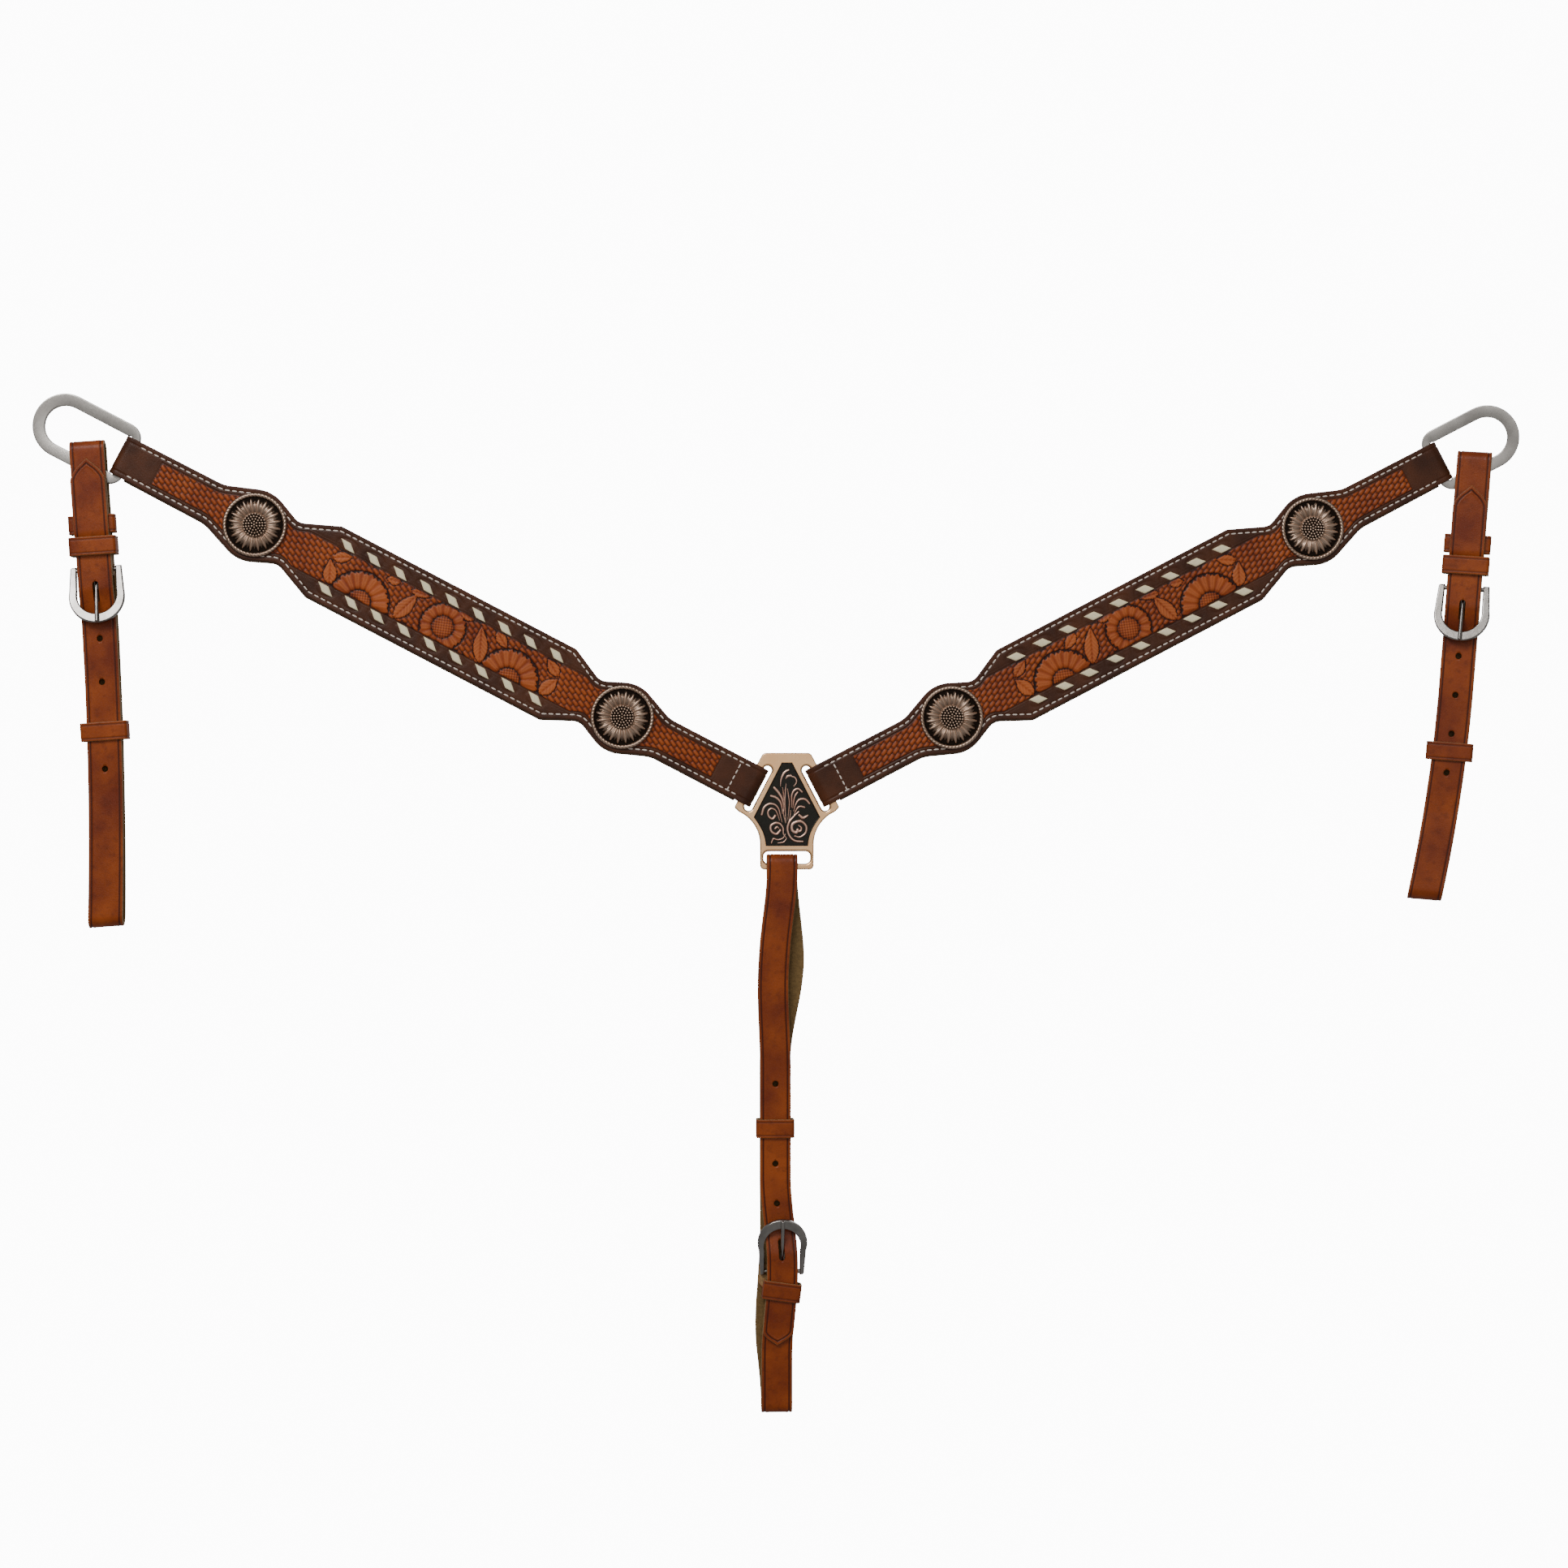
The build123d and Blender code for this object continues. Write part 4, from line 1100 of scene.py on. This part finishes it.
def cutter(name, boxes, world):
    """Rounded prisms through the strap: each is (along, half length, half width, from depth, to depth)."""
    around = 24
    turn = np.linspace(0, 2 * pi, around, endpoint=False)
    points, faces = [], []
    for index, (along, half_length, half_width, low, high) in enumerate(boxes):
        straight = max(half_length - half_width, 0)
        x = half_width * np.cos(turn)
        y = half_width * np.sin(turn) + np.where(np.sin(turn) >= 0, straight, -straight)
        for depth in (low, high):
            points.append(world(np.stack([np.full_like(x, depth), along + y], 1), x))
        faces += [[corner + 2 * around * index for corner in face] for face in ring_faces(2, around)]
    return mesh_object(name, np.concatenate(points), faces, edge=np.ones(2 * around * len(boxes)))


def punch(piece, tool):
    """Cuts the tool's shape out of the piece and drops the tool."""
    cut = piece.modifiers.new("holes", "BOOLEAN")
    cut.operation = "DIFFERENCE"
    cut.solver = "EXACT"
    cut.object = tool
    bpy.context.view_layer.update()
    mesh = bpy.data.meshes.new_from_object(piece.evaluated_get(bpy.context.evaluated_depsgraph_get()))
    piece.modifiers.clear()
    piece.data = mesh
    mesh.shade_smooth()
    bpy.data.objects.remove(tool)


def buckled_strap(name):
    """The leather of a tug or the girth: folded, trimmed at its tip, punched for tongue and heel bar."""
    strap = STRAPS[name]
    line, ways = rounded_line(strap_line(name), 1.6)
    run = np.concatenate([[0], np.cumsum(np.linalg.norm(np.diff(line, axis=0), axis=1))])
    # the last stretch is sampled closely for the trimmed tip
    point = 14.0 if name != "girth" else 9.0
    fine = np.concatenate([run[run < run[-1] - 16], np.linspace(run[-1] - 15.5, run[-1] - 0.05, 48)])
    line = np.stack([np.interp(fine, run, line[:, k]) for k in (0, 1)], 1)
    ways = np.stack([np.interp(fine, run, ways[:, k]) for k in (0, 1)], 1)
    ways /= np.linalg.norm(ways, axis=1)[:, None]
    to_tip = np.clip((run[-1] - fine) / point, 0, 1)
    bow = np.sin(np.clip((to_tip - TIP_STRAIGHT) / (1 - TIP_STRAIGHT), 0, 1) * pi / 2) ** 0.92
    wedge = TIP_SHARE * np.clip(to_tip / TIP_STRAIGHT, 0, 1)
    half = strap["width"] / 2 * np.clip(wedge + (1 - TIP_SHARE) * bow, 0.03, 1)
    world = strap_world(name)

    def relief(w, from_edge):
        return -0.30 * groove(from_edge - 2.1, 0.42) + 0.16 * groove(from_edge - 3.2, 0.5)

    points, faces, marks, _, _ = leather_band(
        line, ways, half, STRAP_LEATHER, 34, world, relief, back_columns=14
    )
    piece = add_piece(
        f"{name}_leather", points, faces, TUG, name, "harness_leather", [f"{name}_strap"], **marks
    )
    hole_radius, bar_slot_half, front, through = 1.9, 2.2, 12.0, 0.6
    heel = strap["heel"]
    holes = [
        (heel + FIRST_HOLE - strap["pitch"] * k, hole_radius, hole_radius, through, front) for k in range(4)
    ]
    holes.append((heel - 13.8, 6.5, hole_radius, through, front))
    holes.append((heel + 1.5, 6.5, bar_slot_half, -3.0, 6.1))
    punch(piece, cutter(f"{name}_punch", holes, world))


def keeper(name, label, along, back, front, body, turn=0.0):
    """Closed leather loop with creased edges, flattened so that it stands out a little at both sides."""
    strap = STRAPS[name]
    inner = strap["width"] + (1.6 if name == "girth" else 4.6)
    wide, deep = (inner + KEEPER_LEATHER) / 2, (front - back + KEEPER_LEATHER) / 2
    radius = 1.25
    corners = [
        ((0, -deep), 0), ((wide, -deep), radius), ((wide, deep), radius),
        ((-wide, deep), radius), ((-wide, -deep), radius), ((0, -deep), 0),
    ]
    line, ways = rounded_line(corners, 0.8)
    line, ways = line[:-1], ways[:-1]
    # the long front and back bow out slightly
    bow = 0.35 * np.clip(1 - (line[:, 0] / wide) ** 2, 0, 1) * np.sign(line[:, 1])
    line[:, 1] += np.where(np.abs(line[:, 1]) > deep - 0.2, bow, 0)
    place = strap["place"]
    forward = forward_of(place)
    centre = strap_world(name)(np.array([[(front + back) / 2, strap["heel"] + along]]), np.zeros(1))[0]
    wide_way = place["across"] * cos(turn) + place["along"] * sin(turn)
    high_way = place["along"] * cos(turn) - place["across"] * sin(turn)

    def world(view, across):
        return centre + view[:, :1] * wide_way + view[:, 1:] * forward + across[:, None] * high_way

    points, faces, marks, _, _ = leather_band(
        line, ways, np.full(len(line), KEEPER_HEIGHT / 2), KEEPER_LEATHER, 18, world,
        lambda w, from_edge: -0.20 * groove(from_edge - 1.6, 0.35), closed=True,
    )
    add_piece(
        f"{name}_{label}_loop", points, faces, TUG, body, "harness_leather", [f"{name}_{label}"], **marks
    )


# ---- Make the pieces ----
for side in ("left", "right"):
    shoulder_face(side)
    shoulder_lining(side)
    stitches(side)
    lace_row(side, "lace_top", LACE_ROW)
    lace_row(side, "lace_bottom", -LACE_ROW)
    for name, place in zip(("concho_inner", "concho_outer"), CONCHO_PLACES):
        concho(side, name, place)
    dee_ring(side)
yoke_insert()

CHAPE_BACK = RUN_DEPTH - 1.5 * STRAP_LEATHER - 2 * SEWN_GAP
CHAPE_FRONT = RUN_DEPTH + STRAP_LEATHER / 2 + 0.1
RUN_OUTSIDE = RUN_NARROW + STRAP_LEATHER / 2 + 0.35
for name in STRAPS:
    buckled_strap(name)
    slider = name.replace("_tug", "") + "_keeper"
    keeper(name, "keeper_sliding", STRAPS[name]["keeper"], -RUN_OUTSIDE, RUN_OUTSIDE, slider)
    lower, upper = SEWN_KEEPERS
    billet_front = BILLET_DEPTH + STRAP_LEATHER / 2
    if name == "girth":
        keeper(name, "keeper_sewn", lower - 2.6, CHAPE_BACK - 1.4, billet_front + 0.3, name, radians(-8.0))
    else:
        keeper(name, "keeper_middle", lower, CHAPE_BACK - 1.4, billet_front + 1.2, name)
        keeper(name, "keeper_upper", upper, CHAPE_BACK, CHAPE_FRONT, name)

CAD_FINISHES = {
    "yoke_plate": COPPER, "buckle": STEEL, "tongue": STEEL, "screw_inner": ANTIQUE, "screw_outer": ANTIQUE,
}
for node, thing in frame["nodes"].items():
    for ending, material in CAD_FINISHES.items():
        if node.endswith(ending):
            thing.data.materials.clear()
            thing.data.materials.append(material)

# ---- Floor, light and camera ----
def paper():
    """White studio paper that glows evenly."""
    n = Nodes("studio_paper")
    colour = n.mix(n.spread(n.noise(0.6, 1.0), 0.3, 0.7), (0.93, 0.93, 0.93), (0.95, 0.95, 0.95))
    glow = {"Emission_Color": (1, 1, 1, 1), "Emission_Strength": 12.0}
    return n.finish(colour, 0.95, Specular_IOR_Level=0.0, **glow)


WALL = 12.0
FLOOR = -3.4
CEILING = 8.0


def backdrop():
    """A pale floor, wall and ceiling that only the camera sees, so they throw no light on the collar."""
    bend, axle = 0.8, 0.05
    corners = [((axle, FLOOR), 0), ((WALL, FLOOR), bend), ((WALL, CEILING), bend), ((axle, CEILING), 0)]
    line, _ = rounded_line(corners, 0.4)
    turn = np.linspace(0, 2 * pi, 64, endpoint=False)
    points = [(radius * cos(angle), radius * sin(angle), z) for radius, z in line for angle in turn]
    room = mesh_object("backdrop", np.array(points) / MM, ring_faces(len(line), len(turn)))
    room.data.shade_smooth()
    room.data.materials.append(paper())
    room.visible_diffuse = False
    room.visible_glossy = False
    room.visible_transmission = False
    room.visible_shadow = False
    room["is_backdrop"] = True


def area_light(name, place, target, size, power):
    lamp = bpy.data.lights.new(name, "AREA")
    lamp.shape = "RECTANGLE"
    lamp.size, lamp.size_y = size
    lamp.energy = power
    holder = bpy.data.objects.new(name, lamp)
    holder.visible_camera = False
    aim(holder, place, target)


def aim(holder, place, target):
    from_target = np.array(place, float) - np.array(target, float)
    holder.location = place
    yaw = atan2(from_target[0], -from_target[1])
    pitch = atan2(from_target[2], hypot(from_target[0], from_target[1]))
    holder.rotation_euler = (pi / 2 - pitch, 0, yaw)
    bpy.context.scene.collection.objects.link(holder)


backdrop()
world = bpy.data.worlds.new("studio")
world.use_nodes = True
sky = world.node_tree.nodes["Background"].inputs
sky["Color"].default_value = (1, 1, 1, 1)
sky["Strength"].default_value = 0.34
bpy.context.scene.world = world

CENTRE = (-0.00175, -0.002, 0.012)
area_light("key", (-0.9, -1.8, 1.5), CENTRE, (1.4, 0.9), 38)
area_light("front", (0.3, -3.0, 0.6), CENTRE, (2.2, 1.6), 9)
area_light("back", (1.2, 1.9, 1.4), CENTRE, (1.4, 0.9), 16)

SENSOR = 36.0
FRAME_WIDTH = 0.966
DISTANCE = 2.0
YAW, RISE = radians(2.5), radians(0.0)
camera_data = bpy.data.cameras.new("camera")
camera_data.sensor_width = SENSOR
camera_data.lens = SENSOR * DISTANCE / FRAME_WIDTH
camera = bpy.data.objects.new("camera", camera_data)
away = np.array([-sin(YAW) * cos(RISE), -cos(YAW) * cos(RISE), sin(RISE)]) * DISTANCE
aim(camera, tuple(np.array(CENTRE) + away), CENTRE)
bpy.context.scene.camera = camera

boxes = {"cad": CAD_BOX, "visual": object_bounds()}
{name: [list(corner) for corner in box] for name, box in boxes.items()}
